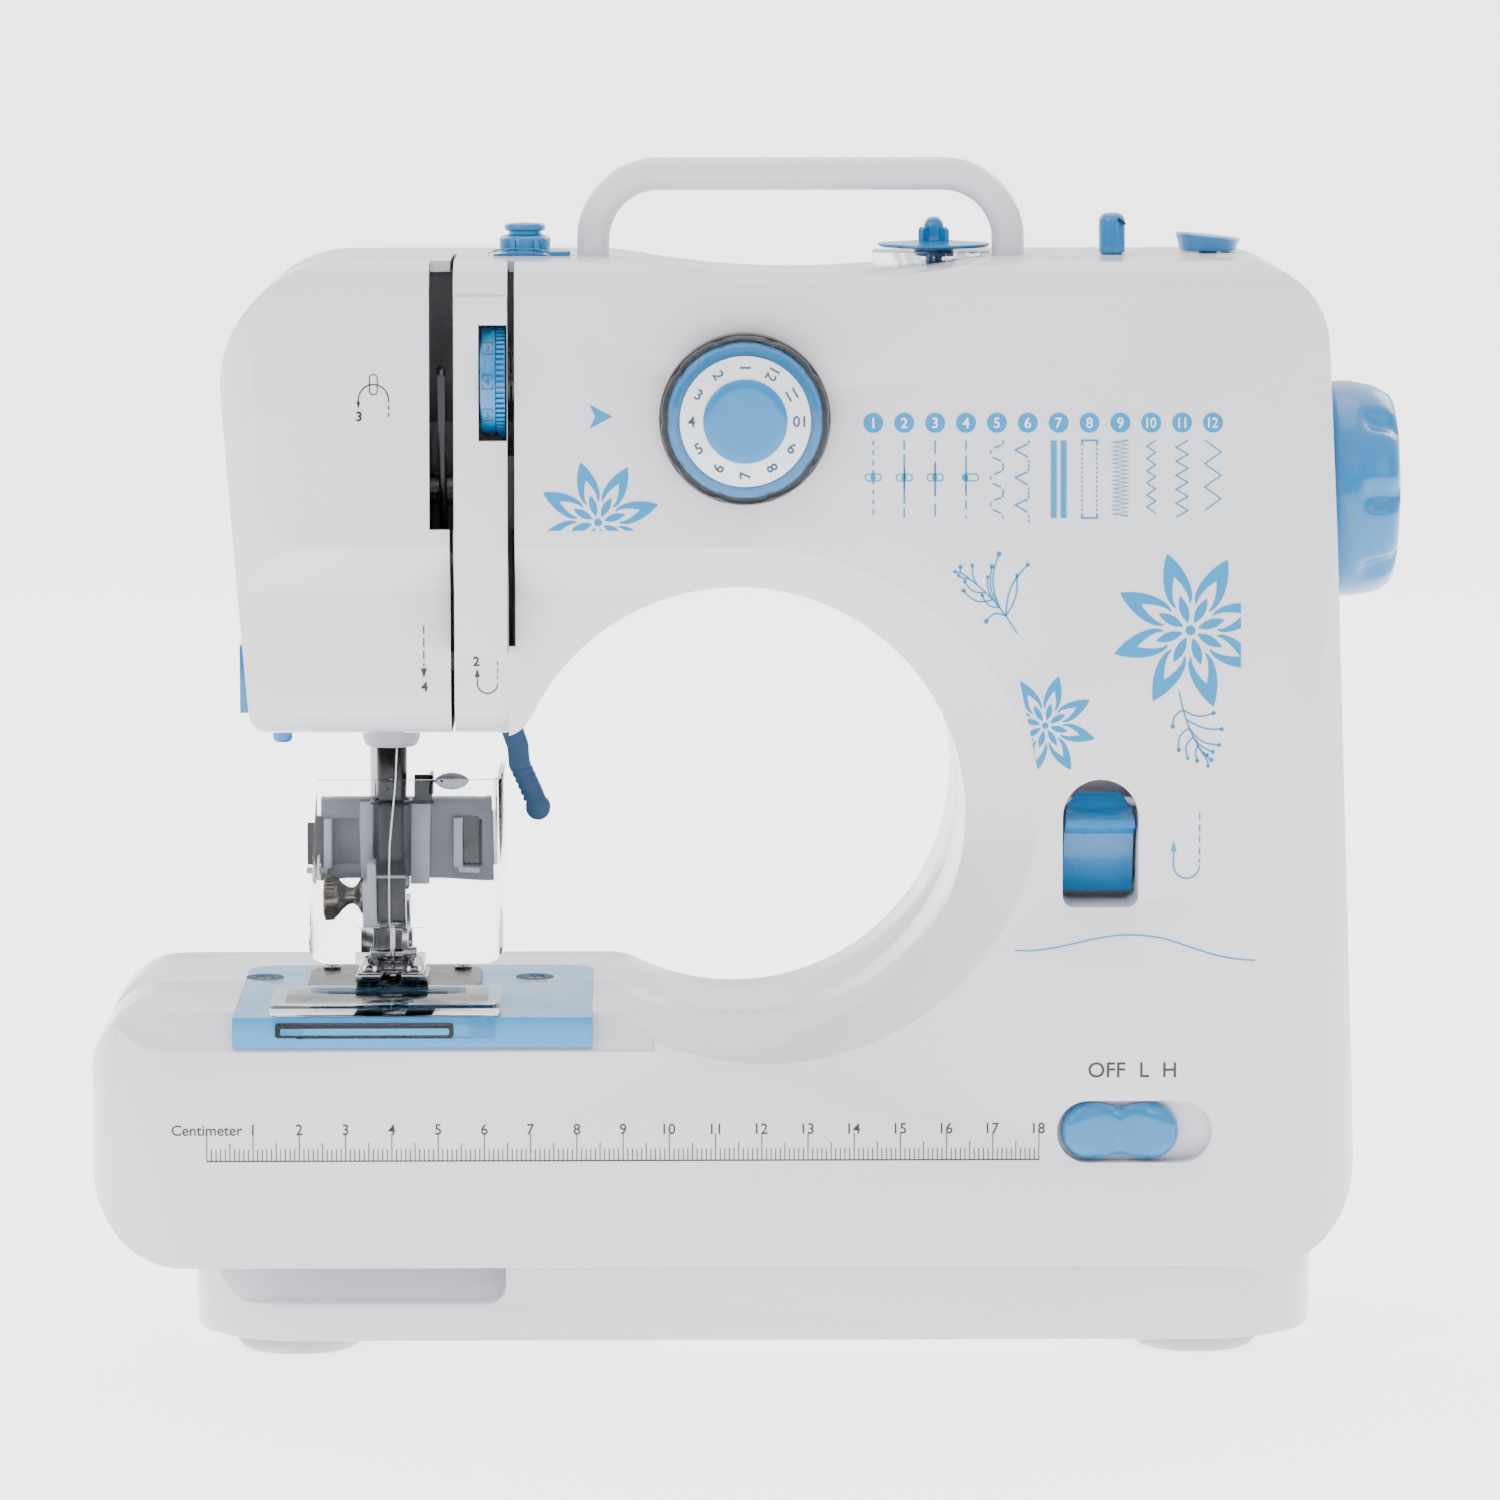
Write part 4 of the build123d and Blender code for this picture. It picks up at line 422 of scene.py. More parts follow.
def lathe(bm, profile, axis="z", centre=(0, 0), steps=40, wave=None):
    """Solid of revolution. profile runs (radius, along); wave changes the radius with the angle."""
    rows = []
    for radius, along in profile:
        if radius < 1e-6:
            rows.append([bm.verts.new(spread(axis, centre[0], centre[1], along))])
        else:
            rows.append(ring_row(bm, radius, along, axis, centre, steps, wave))
    for low, high in zip(rows, rows[1:]):
        join_rows(bm, low, high)
    for row in (rows[0], rows[-1]):
        if len(row) > 1:
            bm.faces.new(row)


def hoop(bm, profile, axis="z", centre=(0, 0), steps=40, wave=None):
    """Ring of revolution from a closed profile that stays clear of the axis."""
    rows = [ring_row(bm, radius, along, axis, centre, steps, wave) for radius, along in profile]
    for low, high in zip(rows, rows[1:] + rows[:1]):
        join_rows(bm, low, high)


def prism(bm, points, low, high, axis="y"):
    """Straight solid from an outline in the two cross coordinates."""
    first = [bm.verts.new(spread(axis, a, b, low)) for a, b in points]
    last = [bm.verts.new(spread(axis, a, b, high)) for a, b in points]
    bm.faces.new(first)
    bm.faces.new(last[::-1])
    for i in range(len(points)):
        j = (i + 1) % len(points)
        bm.faces.new((first[i], last[i], last[j], first[j]))


def block(bm, x0, x1, y0, y1, z0, z1):
    prism(bm, [(x0, z0), (x1, z0), (x1, z1), (x0, z1)], y0, y1, "y")


def tube(bm, path, radius, steps=12, closed=False):
    """Round bar along a path of points; radius may change from point to point."""
    path = [Vector(p) for p in path]
    count = len(path)
    radii = radius if isinstance(radius, (list, tuple)) else [radius] * count
    rows = []
    side = None
    for i, point in enumerate(path):
        before = path[i - 1] if (i or closed) else path[i]
        after = path[(i + 1) % count] if (i < count - 1 or closed) else path[i]
        along = (after - before).normalized()
        if side is None:
            side = along.orthogonal().normalized()
        side = (side - along * side.dot(along)).normalized()
        up = along.cross(side)
        rows.append([bm.verts.new(point + side * radii[i] * math.cos(t) + up * radii[i] * math.sin(t))
                     for t in turns(steps)])
    pairs = list(zip(rows, rows[1:])) + ([(rows[-1], rows[0])] if closed else [])
    for low, high in pairs:
        join_rows(bm, low, high)
    if not closed:
        bm.faces.new(rows[0])
        bm.faces.new(rows[-1])


def soft_box(x0, x1, z0, z1, radius, steps=5):
    """Outline of a rectangle with round corners."""
    points = []
    for cx, cz, start in ((x1 - radius, z1 - radius, 0), (x0 + radius, z1 - radius, 90),
                          (x0 + radius, z0 + radius, 180), (x1 - radius, z0 + radius, 270)):
        for k in range(steps + 1):
            t = math.radians(start + 90 * k / steps)
            points.append((cx + radius * math.cos(t), cz + radius * math.sin(t)))
    return points


def add_mesh(bm, mesh, matrix=None):
    """Put a ready mesh into the one under construction."""
    if matrix is not None:
        mesh.transform(matrix)
    bm.from_mesh(mesh)
    bpy.data.meshes.remove(mesh)


def scaled_mesh(bm, name):
    """Mesh in metres from one under construction in millimetres."""
    bmesh.ops.scale(bm, vec=(MM, MM, MM), verts=bm.verts)
    mesh = bpy.data.meshes.new(name)
    bm.to_mesh(mesh)
    bm.free()
    return mesh


def piece(bm, name, material, body, slot, nodes=(), rounding=0.0, segments=2, angle=35.0):
    """Close a mesh under construction and make it a finished piece of a body."""
    bmesh.ops.remove_doubles(bm, verts=bm.verts, dist=0.0005)
    bmesh.ops.recalc_face_normals(bm, faces=bm.faces)
    if rounding:
        limit = math.radians(angle)
        sharp = [e for e in bm.edges if len(e.link_faces) == 2 and e.calc_face_angle(0.0) > limit]
        bmesh.ops.bevel(bm, geom=sharp, offset=rounding, segments=segments, profile=0.5, affect="EDGES",
                        clamp_overlap=True)
    crease(bm, MADE_SMOOTH)
    bmesh.ops.triangulate(bm, faces=[f for f in bm.faces if len(f.verts) > 4])
    return place(to_object(name, scaled_mesh(bm, name)), material, body, slot, nodes)


def repeat_tree():
    """Copies of one shape, each turned and moved on from the last."""
    tree = bpy.data.node_groups.new("repeat_shape", "GeometryNodeTree")
    face = tree.interface
    face.new_socket("Shape", in_out="INPUT", socket_type="NodeSocketGeometry")
    for label, kind, value in (("Count", "NodeSocketInt", 8), ("Turn", "NodeSocketFloat", 0.0),
                               ("Start", "NodeSocketFloat", 0.0), ("Radius", "NodeSocketFloat", 0.0),
                               ("Step", "NodeSocketVector", (0, 0, 0)),
                               ("Finish", "NodeSocketMaterial", None)):
        socket = face.new_socket(label, in_out="INPUT", socket_type=kind)
        if value is not None:
            socket.default_value = value
    face.new_socket("Shapes", in_out="OUTPUT", socket_type="NodeSocketGeometry")
    new = tree.nodes.new
    link = tree.links.new
    source, sink = new("NodeGroupInput"), new("NodeGroupOutput")
    line = new("GeometryNodeMeshLine")
    line.inputs["Offset"].default_value = (0, 0, 0)
    link(source.outputs["Count"], line.inputs["Count"])
    index = new("GeometryNodeInputIndex").outputs[0]
    turn = maths(tree, "ADD", maths(tree, "MULTIPLY", index, source.outputs["Turn"]), source.outputs["Start"])
    across = maths(tree, "MULTIPLY", maths(tree, "COSINE", turn), source.outputs["Radius"])
    along = maths(tree, "MULTIPLY", maths(tree, "SINE", turn), source.outputs["Radius"])
    around = new("ShaderNodeCombineXYZ")
    link(across, around.inputs[0])
    link(along, around.inputs[1])
    moved = new("ShaderNodeVectorMath")
    moved.operation = "SCALE"
    link(source.outputs["Step"], moved.inputs[0])
    link(index, moved.inputs["Scale"])
    total = new("ShaderNodeVectorMath")
    link(around.outputs[0], total.inputs[0])
    link(moved.outputs[0], total.inputs[1])
    spots = new("GeometryNodeSetPosition")
    link(line.outputs[0], spots.inputs["Geometry"])
    link(total.outputs[0], spots.inputs["Position"])
    heading = new("ShaderNodeCombineXYZ")
    link(turn, heading.inputs[2])
    copies = new("GeometryNodeInstanceOnPoints")
    link(spots.outputs[0], copies.inputs["Points"])
    link(source.outputs["Shape"], copies.inputs["Instance"])
    link(heading.outputs[0], copies.inputs["Rotation"])
    real = new("GeometryNodeRealizeInstances")
    link(copies.outputs[0], real.inputs[0])
    paint = new("GeometryNodeSetMaterial")
    link(real.outputs[0], paint.inputs["Geometry"])
    link(source.outputs["Finish"], paint.inputs["Material"])
    link(paint.outputs[0], sink.inputs[0])
    return tree


def repeated(shape, material, count, turn=0.0, start=0.0, radius=0.0, step=(0, 0, 0)):
    """Mesh of the repeated shape, made through the geometry tree."""
    tree = bpy.data.node_groups.get("repeat_shape") or repeat_tree()
    mesh = bpy.data.meshes.new("item")
    bmesh.ops.recalc_face_normals(shape, faces=shape.faces)
    shape.to_mesh(mesh)
    shape.free()
    item = to_object("item", mesh)
    layer = item.modifiers.new("repeat", "NODES")
    layer.node_group = tree
    values = {"Count": count, "Turn": turn, "Start": start, "Radius": radius, "Step": step,
              "Finish": MATERIALS[material]}
    for socket in tree.interface.items_tree:
        if socket.in_out == "INPUT" and socket.name in values:
            layer[socket.identifier] = values[socket.name]
    bpy.context.view_layer.update()
    graph = bpy.context.evaluated_depsgraph_get()
    result = bpy.data.meshes.new_from_object(item.evaluated_get(graph))
    bpy.data.objects.remove(item)
    bpy.data.meshes.remove(mesh)
    return result


def carried(material, *nodes):
    """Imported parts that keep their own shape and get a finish."""
    for node in nodes:
        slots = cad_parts[node].data.materials
        slots.clear()
        slots.append(MATERIALS[material])


def finished_copy(node, material, body, slot, rounding=0.35, segments=2, angle=28.0):
    return place(soft_copy(node, rounding * MM, segments, angle), material, body, slot, (node,))


def paint_faces(thing, material, test):
    """Second finish on the faces whose centre and normal pass a test."""
    thing.data.materials.append(MATERIALS[material])
    mark = len(thing.data.materials) - 1
    for face in thing.data.polygons:
        if test(face.center / MM, face.normal):
            face.material_index = mark


# ------------------------------------------------------------------ body
class SEWING_OT_covers(bpy.types.Operator):
    """Moulded front, face and rear covers, with painted shade on their slot walls, and their screws"""

    bl_idname = "sewing.covers"
    bl_label = "Covers"

    def execute(self, context):
        rounding = context.scene.sewing_finish.edge_round / MM
        deck = Room("deck_plate")
        strip_left = Room("takeup_lever").x0 - 2.2
        strip_right = Room("tension_wheel").x1 + 4.5
        for node in ("front_cover", "face_cover", "rear_cover"):
            cover = finished_copy(node, "white_moulding", "machine", "white_plastic", rounding, 3)
            # painted shade: the side walls of the slots in the head get the near-black finish where they lie
            # in shade
            paint_faces(cover, "shade_black", lambda c, n: (
                strip_left - 1 < c.x < strip_right and c.z > 153 and abs(n.x) > 0.9 and c.y < -20)
                or (abs(n.x) > 0.9 and -64.6 < c.x < -63.4 and c.z > deck.z1 and c.y < 0))
        carried("steel", "case_screws")
        return {"FINISHED"}


class SEWING_OT_base(bpy.types.Operator):
    """Base tray, rubber feet, battery door and carrying handle"""

    bl_idname = "sewing.base"
    bl_label = "Base and handle"

    def execute(self, context):
        finished_copy("base_tray", "white_moulding", "machine", "white_plastic", 0.6, 3)
        finished_copy("battery_cover", "white_moulding", "battery_door", "white_plastic", 0.3)
        finished_copy("feet", "foot_rubber", "machine", "rubber", 0.6, 2)
        finished_copy("handle", "handle_moulding", "machine", "white_plastic", 0.0)
        return {"FINISHED"}


class SEWING_OT_bed(bpy.types.Operator):
    """Deck plate, needle plate, feed dog, bobbin cover and their screws"""

    bl_idname = "sewing.bed"
    bl_label = "Bed"

    def execute(self, context):
        finished_copy("deck_plate", "deck_moulding", "machine", "blue_deck", 0.45, 3)
        deck, plate = Room("deck_plate"), Room("needle_plate")
        lid, screws = Room("bobbin_cover"), Room("deck_screws")
        finished_copy("needle_plate", "plate_steel", "machine", "dark_metal", 0.2)
        finished_copy("feed_dog", "steel", "feed", "steel", 0.0)

        spots = ((screws.x0 + 2.5, 10, deck.z1 - 0.1, 3.0), (deck.x1 - 13.2, 10, deck.z1 - 0.1, 3.0),
                 (plate.x0 + 4.5, 14.5, plate.z1 + 0.9, 2.5), (plate.x1 - 4.5, 14.5, plate.z1 + 0.9, 2.5))
        bm = bmesh.new()
        for x, y, top, radius in spots:
            lathe(bm, [(1.2, top - 2.6), (1.2, top - 0.9), (radius - 0.5, top - 0.9),
                       (radius - 0.5, top - 0.4),
                       (radius - 0.9, top - 0.05), (0, top)], "z", (x, y), 28)
        piece(bm, "deck_screw_heads", "screw_steel", "machine", "steel", ("deck_screws",))
        # painted shade: black blocks sunk in the screw heads stand for the shade in their slots
        bm = bmesh.new()
        for x, y, top, radius in spots:
            block(bm, x - 0.28, x + 0.28, y - radius + 0.9, y + radius - 0.9, top - 0.5, top + 0.02)
            block(bm, x - radius + 0.9, x + radius - 0.9, y - 0.28, y + 0.28, top - 0.5, top + 0.02)
        piece(bm, "deck_screw_slot_shade", "shade_black", "machine", "black_plastic")
        # painted shade: black rings round the deck screws stand for the shade in the gaps round their seats
        bm = bmesh.new()
        for x, y, top, radius in spots[:2]:
            hoop(bm, [(radius + 1.3, deck.z1 - 0.1), (radius + 1.25, deck.z1 + 0.06),
                      (radius - 0.3, deck.z1 + 0.06),
                      (radius - 0.3, deck.z1 - 0.1)], "z", (x, y), 32)
        piece(bm, "deck_screw_seat_shade", "shade_black", "machine", "black_plastic")

        finished_copy("bobbin_cover", "clear_moulding", "bobbin_lid", "clear_plastic", 0.25)
        bm = bmesh.new()
        middle = (lid.x0 + lid.x1) / 2
        for i, half in enumerate((17.0, 15.5, 13.0)):
            y = lid.y1 - 5.0 - 2.1 * i
            tube(bm, [(middle - half, y, lid.z1 - 0.05), (middle + half, y, lid.z1 - 0.05)], 0.3, 8)
        low = lid.z0 + 0.4
        tube(bm, [(lid.x0 + 6, lid.y0 + 0.1, low), (lid.x1 - 6, lid.y0 + 0.1, low)], 0.35, 8)
        piece(bm, "bobbin_cover_lines", "clear_moulding", "bobbin_lid", "clear_plastic")
        # painted shade: a black rim round the blue pull stands for the shade in the gap at the bobbin cover's
        # front
        bm = bmesh.new()
        front = deck.y0
        prism(bm, soft_box(lid.x0 + 1.5, lid.x1 - 10, lid.z0 + 0.2, lid.z1 - 3.2, 0.6), front - 0.12,
              front + 0.2)
        piece(bm, "bobbin_cover_rim_shade", "shade_black", "machine", "black_plastic")
        bm = bmesh.new()
        prism(bm, soft_box(lid.x0 + 2.6, lid.x1 - 11, lid.z0 + 0.8, lid.z1 - 4.4, 0.4), front - 0.3,
              front - 0.1)
        piece(bm, "bobbin_cover_pull", "deck_moulding", "machine", "blue_deck")
        return {"FINISHED"}


def needle_bar_trim(x, y, clamp):
    """Ground sleeve and two polished lands on the dark bar."""
    bm = bmesh.new()
    lathe(bm, [(2.7, clamp.z1 + 12.8), (3.3, clamp.z1 + 13.1), (3.4, clamp.z1 + 18), (3.4, clamp.z1 + 29.5),
               (3.1, clamp.z1 + 30)], "z", (x, y), 40)
    piece(bm, "needle_bar_sleeve", "dark_steel", "needle_group", "dark_metal")
    bm = bmesh.new()
    for side in (-1.45, 1.45):
        lathe(bm, [(1.35, clamp.z1 - 0.5), (1.35, clamp.z1 + 13.2)], "z", (x + side, y - 1.5), 20)
    piece(bm, "needle_bar_lands", "dark_steel", "needle_group", "dark_metal")


def needle_clamp(x, y, clamp):
    """Clamp block, its slot and set screw, and the pale guard beside it."""
    bm = bmesh.new()
    block(bm, x - 3.3, x + 3.3, y - 4.2, y + 4.2, clamp.z0, clamp.z1)
    piece(bm, "needle_clamp_body", "dark_steel", "needle_group", "dark_metal", ("needle_clamp",), 0.5, 3)
    bm = bmesh.new()
    block(bm, x - 3.45, x + 3.42, y - 4.35, y - 3.6, clamp.z1 - 3.4, clamp.z1 - 2.7)
    lathe(bm, [(0, x + 3.2), (1.5, x + 3.2), (1.5, x + 3.7), (1.0, x + 4.2), (0, x + 4.3)], "x",
          (y - 1.5, clamp.z0 + 8.2), 24)
    lathe(bm, [(1.0, clamp.z0 - 1.0), (1.0, clamp.z0 + 0.4)], "z", (x, y), 20)
    piece(bm, "needle_clamp_trim", "steel", "needle_group", "steel", (), 0.12)
    bm = bmesh.new()
    # painted shade: the clamp guard is white plastic, coloured pale grey for the shade under the head
    block(bm, x - 6.6, x - 3.32, y - 4.6, y + 3.0, clamp.z0 - 0.8, clamp.z0 + 8.6)
    block(bm, x - 5.4, x - 3.32, y - 4.6, y + 3.0, clamp.z0 + 8.2, clamp.z1 - 0.4)
    piece(bm, "needle_clamp_guard", "pale_grey_and_shaded_white", "needle_group", "white_plastic", (), 0.4, 3)


def thumb_screw(screw):
    """Knurled thumb screw with a waisted neck."""
    bm = bmesh.new()
    radius = (screw.z1 - screw.z0) / 2
    head = screw.x0
    lathe(bm, [(0, head), (radius - 0.9, head), (radius - 0.35, head + 0.4), (radius - 0.35, head + 2.5),
               (radius - 0.9, head + 3.3), (2.6, head + 4.2), (1.8, head + 5.4), (1.7, head + 6.4),
               (2.4, head + 7.4), (3.7, head + 8.2), (3.7, head + 8.9), (1.4, head + 9.0), (1.4, screw.x1),
               (0, screw.x1)],
          "x", (screw.y, screw.z), 48)
    rib = bmesh.new()
    block(rib, radius - 0.55, radius, -0.26, 0.26, head + 0.35, head + 2.55)
    ribs = repeated(rib, "screw_steel", 30, turn=2 * math.pi / 30)
    add_mesh(bm, ribs, axis_turn(screw.y, screw.z))
    piece(bm, "clamp_thumb_screw", "screw_steel", "needle_group", "steel", ("clamp_screw",), 0.08, 1)


def needle_collar(x, y, lens):
    """Collar under the head."""
    bm = bmesh.new()
    # painted shade: the collar is white plastic, coloured pale grey for the shade under the head
    hoop(bm, [(6.6, lens.z0 + 0.5), (6.3, lens.z0 - 3.4), (5.6, lens.z0 - 5.1), (3.7, lens.z0 - 5.1),
              (3.7, lens.z0 + 0.5)], "z", (x, y), 48)
    piece(bm, "needle_collar", "pale_grey_and_shaded_white", "machine", "white_plastic", (), 0.15)


def presser_foot(x, y):
    """Foot with its toes, ankle pin and shank."""
    foot = Room("presser_foot")
    carried("chrome", "presser_bar")
    finished_copy("presser_foot", "chrome", "presser_group", "chrome", 0.3, 2)
    bm = bmesh.new()
    sole = foot.z0 + 2.0
    for side in (-1, 1):
        mid = x + side * 5.0
        tube(bm, [(mid, foot.y0 + 2.0, sole + 1.3), (mid, foot.y0 + 5.5, sole + 1.2),
                  (mid, y + 2, sole + 1.3),
                  (mid, y + 6, sole + 1.2)], [1.4, 2.3, 2.5, 1.8], 20)
    lathe(bm, [(0, x - 5.2), (1.7, x - 5.2), (1.7, x + 5.2), (0, x + 5.2)], "x", (y + 5.6, sole + 3.4), 24)
    block(bm, x - 3.2, x + 3.2, y + 4.8, y + 8.0, sole + 2, foot.z1 - 3)
    piece(bm, "presser_foot_toes", "chrome", "presser_group", "chrome", (), 0.25, 2)


def guard_and_bracket(x, bracket):
    """Clear finger guard on a grey plate with a raised channel and two clips."""
    finished_copy("guard_bracket", "grey_moulding", "presser_group", "grey_plastic", 0.4, 2)
    bm = bmesh.new()
    for low_x, high_x in ((x - 7.2, x - 4.2), (x + 4.2, x + 8.4)):
        block(bm, low_x, high_x, bracket.y0 - 1.5, bracket.y0 + 0.3, bracket.z0 - 1.0, bracket.z1 - 0.4)
    for side in (-1, 1):
        clip = x + side * 14.6
        block(bm, clip - 1.0, clip + 1.0, bracket.y0 - 1.8, bracket.y0 + 0.2, bracket.z0 + 2.6,
              bracket.z1 - 3.6)
        foot_low, foot_high = sorted((clip, clip + side * 4.6))
        block(bm, foot_low, foot_high, bracket.y0 - 1.8, bracket.y0 + 0.2, bracket.z0 + 1.6, bracket.z0 + 2.8)
    piece(bm, "guard_bracket_clips", "pale_grey_and_shaded_white", "presser_group", "grey_plastic", (), 0.25, 2)
    # painted shade: thin black blocks on the bracket stand for the shade in its slots
    bm = bmesh.new()
    for side in (-1, 1):
        low_x, high_x = sorted((x + side * 15.8, x + side * 19.0))
        block(bm, low_x, high_x, bracket.y0 - 0.3, bracket.y0 + 0.2, bracket.z0 + 3.4, bracket.z1 - 3.4)
    piece(bm, "guard_bracket_slot_shade", "black_moulding", "presser_group", "black_plastic")

    finished_copy("guard", "clear_moulding", "presser_group", "clear_plastic", 0.3, 2)


def wing_screw(x, y, bracket):
    """Wire rings, folded steel bracket and an oval thumb grip."""
    wing = Room("wing_screw")
    bm = bmesh.new()
    grip_z = wing.z1 - 3.4
    wire = 0.45
    for ring_z in (wing.z0 + 0.8, grip_z):
        around = [(a, b, ring_z) for a, b in ring_points(4.3, 36, (x, y))]
        tube(bm, around, wire, 10, closed=True)
        arm = [(x + 4.2, y - 0.6, ring_z), (x + 7.0, y - 1.0, ring_z), (x + 9.4, y - 0.6, ring_z)]
        tube(bm, arm, wire, 10)
    block(bm, x + 5.0, x + 9.0, y - 1.2, y - 0.4, wing.z0 + 1.0, wing.z1 - 1.4)
    block(bm, x + 8.2, x + 9.2, y - 1.2, bracket.y0 + 0.4, wing.z0 + 2.4, wing.z1 - 1.6)
    piece(bm, "wing_screw_bracket", "dark_steel", "presser_group", "dark_metal", ("wing_screw",), 0.2, 2)
    bm = bmesh.new()
    lathe(bm, [(0, x + 9.0), (1.2, x + 9.0), (0.9, x + 10.4), (1.3, x + 11.4), (0, x + 11.6)], "x",
          (y - 2.0, grip_z), 20)
    rows = []
    for offset, share in ((-0.75, 0.8), (-0.55, 0.96), (0, 1.0), (0.55, 0.96), (0.75, 0.8)):
        rows.append([bm.verts.new((x + 13.3 + 4.1 * share * math.cos(t), y - 2.0 + offset,
                                   grip_z + 2.6 * share * math.sin(t)))
                     for t in turns(40)])
    for one, two in zip(rows, rows[1:]):
        join_rows(bm, one, two)
    bm.faces.new(rows[0])
    bm.faces.new(rows[-1])
    piece(bm, "wing_screw_grip", "steel", "presser_group", "steel")


def sewing_thread(x, y, clamp, eye, top):
    """Thread from the head down to the eye of the needle."""
    bm = bmesh.new()
    points = [(x + 1.6, y - 4.4, top), (x + 0.9, y - 4.7, clamp.z1 + 16), (x - 0.2, y - 4.9, clamp.z1 + 4),
              (x - 0.5, y - 4.9, clamp.z0 + 0.6), (x - 0.2, y - 1.6, clamp.z0 - 2.5), (x, y - 0.6, eye)]
    line = []
    for p, q in zip(points, points[1:]):
        for k in range(8):
            line.append(Vector(p).lerp(Vector(q), k / 8))
    line.append(Vector(points[-1]))
    tube(bm, line, 0.16, 8)
    bmesh.ops.recalc_face_normals(bm, faces=bm.faces)
    crease(bm, MADE_SMOOTH)
    thread = to_object("sewing_thread", scaled_mesh(bm, "sewing_thread"))
    thread.data.materials.append(MATERIALS["thread_white"])
    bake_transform(thread)


class SEWING_OT_needle_head(bpy.types.Operator):
    """Needle bar, clamp, needle, presser foot, guard and their screws"""

    bl_idname = "sewing.needle_head"
    bl_label = "Needle head"

    def execute(self, context):
        needle, clamp, lens = Room("needle"), Room("needle_clamp"), Room("lamp_lens")
        bracket = Room("guard_bracket")
        x, y = needle.x, needle.y
        carried("dark_steel", "needle_bar")
        carried("chrome", "needle")
        needle_bar_trim(x, y, clamp)
        needle_clamp(x, y, clamp)
        thumb_screw(Room("clamp_screw"))
        needle_collar(x, y, lens)
        carried("bearing_brass", "bushings")
        presser_foot(x, y)
        guard_and_bracket(x, bracket)
        wing_screw(x, y, bracket)
        finished_copy("presser_lever", "lever_moulding", "presser_lever_body", "blue_dark", 0.3, 2)
        sewing_thread(x, y, clamp, needle.z0 + 3.6, lens.z0 + 0.6)
        return {"FINISHED"}


def dial_skirt(x, z, skirt):
    """Clear scalloped skirt over a blue core."""
    outer = (skirt.x1 - skirt.x0) / 2

    def scallop(turn, along):
        return 1.0 - 0.022 * max(0.0, math.cos(10 * turn)) ** 6

    bm = bmesh.new()
    lathe(bm, [(outer - 1.2, skirt.y1), (outer, skirt.y1 - 0.4), (outer, skirt.y0 + 2.2),
               (outer - 0.4, skirt.y0 + 1.0),
               (outer - 1.3, skirt.y0 + 0.2), (14.4, skirt.y0 + 0.1), (14.4, skirt.y1)], "y", (x, z), 160,
          scallop)
    piece(bm, "dial_skirt_clear", "clear_moulding", "stitch_dial", "clear_plastic", ("dial_skirt",))
    bm = bmesh.new()
    hoop(bm, [(16.5, skirt.y1 - 0.15), (16.5, skirt.y0 + 2.4), (15.9, skirt.y0 + 1.0), (15.0, skirt.y0 + 0.6),
              (14.2, skirt.y0 + 0.55), (13.2, skirt.y0 + 0.8), (13.2, skirt.y1 - 0.15)], "y", (x, z), 96,
         lambda turn, along: 1.0 - 0.012 * max(0.0, math.cos(10 * turn)) ** 6)
    piece(bm, "dial_skirt_core", "blue_moulding", "stitch_dial", "blue_plastic")


def dial_plates(x, z, ring, cap):
    """White ring with its digits and the blue cap."""
    front = ring.y0
    white = (ring.x1 - ring.x0) / 2
    bm = bmesh.new()
    lathe(bm, [(0, front + 0.6), (white - 0.2, front + 0.6), (white - 0.2, front + 0.1),
               (white - 0.4, front - 0.05),
               (0, front - 0.05)], "y", (x, z), 96)
    piece(bm, "dial_face", "dial_white", "stitch_dial", "white_plastic", ("dial_ring",))
    bm = bmesh.new()
    radius = (cap.x1 - cap.x0) / 2
    lathe(bm, [(0, front), (radius, front), (radius, cap.y0 + 0.5), (radius - 0.15, cap.y0 + 0.25),
               (radius - 0.5, cap.y0 + 0.08), (radius - 2, cap.y0 + 0.02), (0, cap.y0)], "y", (x, z), 96)
    piece(bm, "dial_cap_blue", "blue_moulding", "stitch_dial", "blue_plastic", ("dial_cap",))
    bm = bmesh.new()
    middle = (white + radius) / 2 - 0.1
    for i in range(12):
        turn = math.radians(90 + 30 * i)
        flat_text(bm, str(i + 1), x + middle * math.cos(turn), z + middle * math.sin(turn), 3.3,
                  turn - math.pi, bold=0.05)
    stand_film(bm, front - 0.14, front + 0.05)
    piece(bm, "dial_digits", "ink_navy", "stitch_dial", "blue_dark")


class SEWING_OT_stitch_dial(bpy.types.Operator):
    """Stitch dial: base ring painted black as the shadow in the gap under the skirt, clear scalloped skirt,
    blue and white rings, digits and cap
    """

    bl_idname = "sewing.stitch_dial"
    bl_label = "Stitch dial"

    def execute(self, context):
        ring, cap = Room("dial_ring"), Room("dial_cap")
        # painted shade: the base ring is black for the shadow in the gap under the clear skirt
        finished_copy("dial_bezel", "black_moulding", "machine", "black_plastic", 0.3)
        dial_skirt(cap.x, cap.z, Room("dial_skirt"))
        dial_plates(cap.x, cap.z, ring, cap)
        return {"FINISHED"}


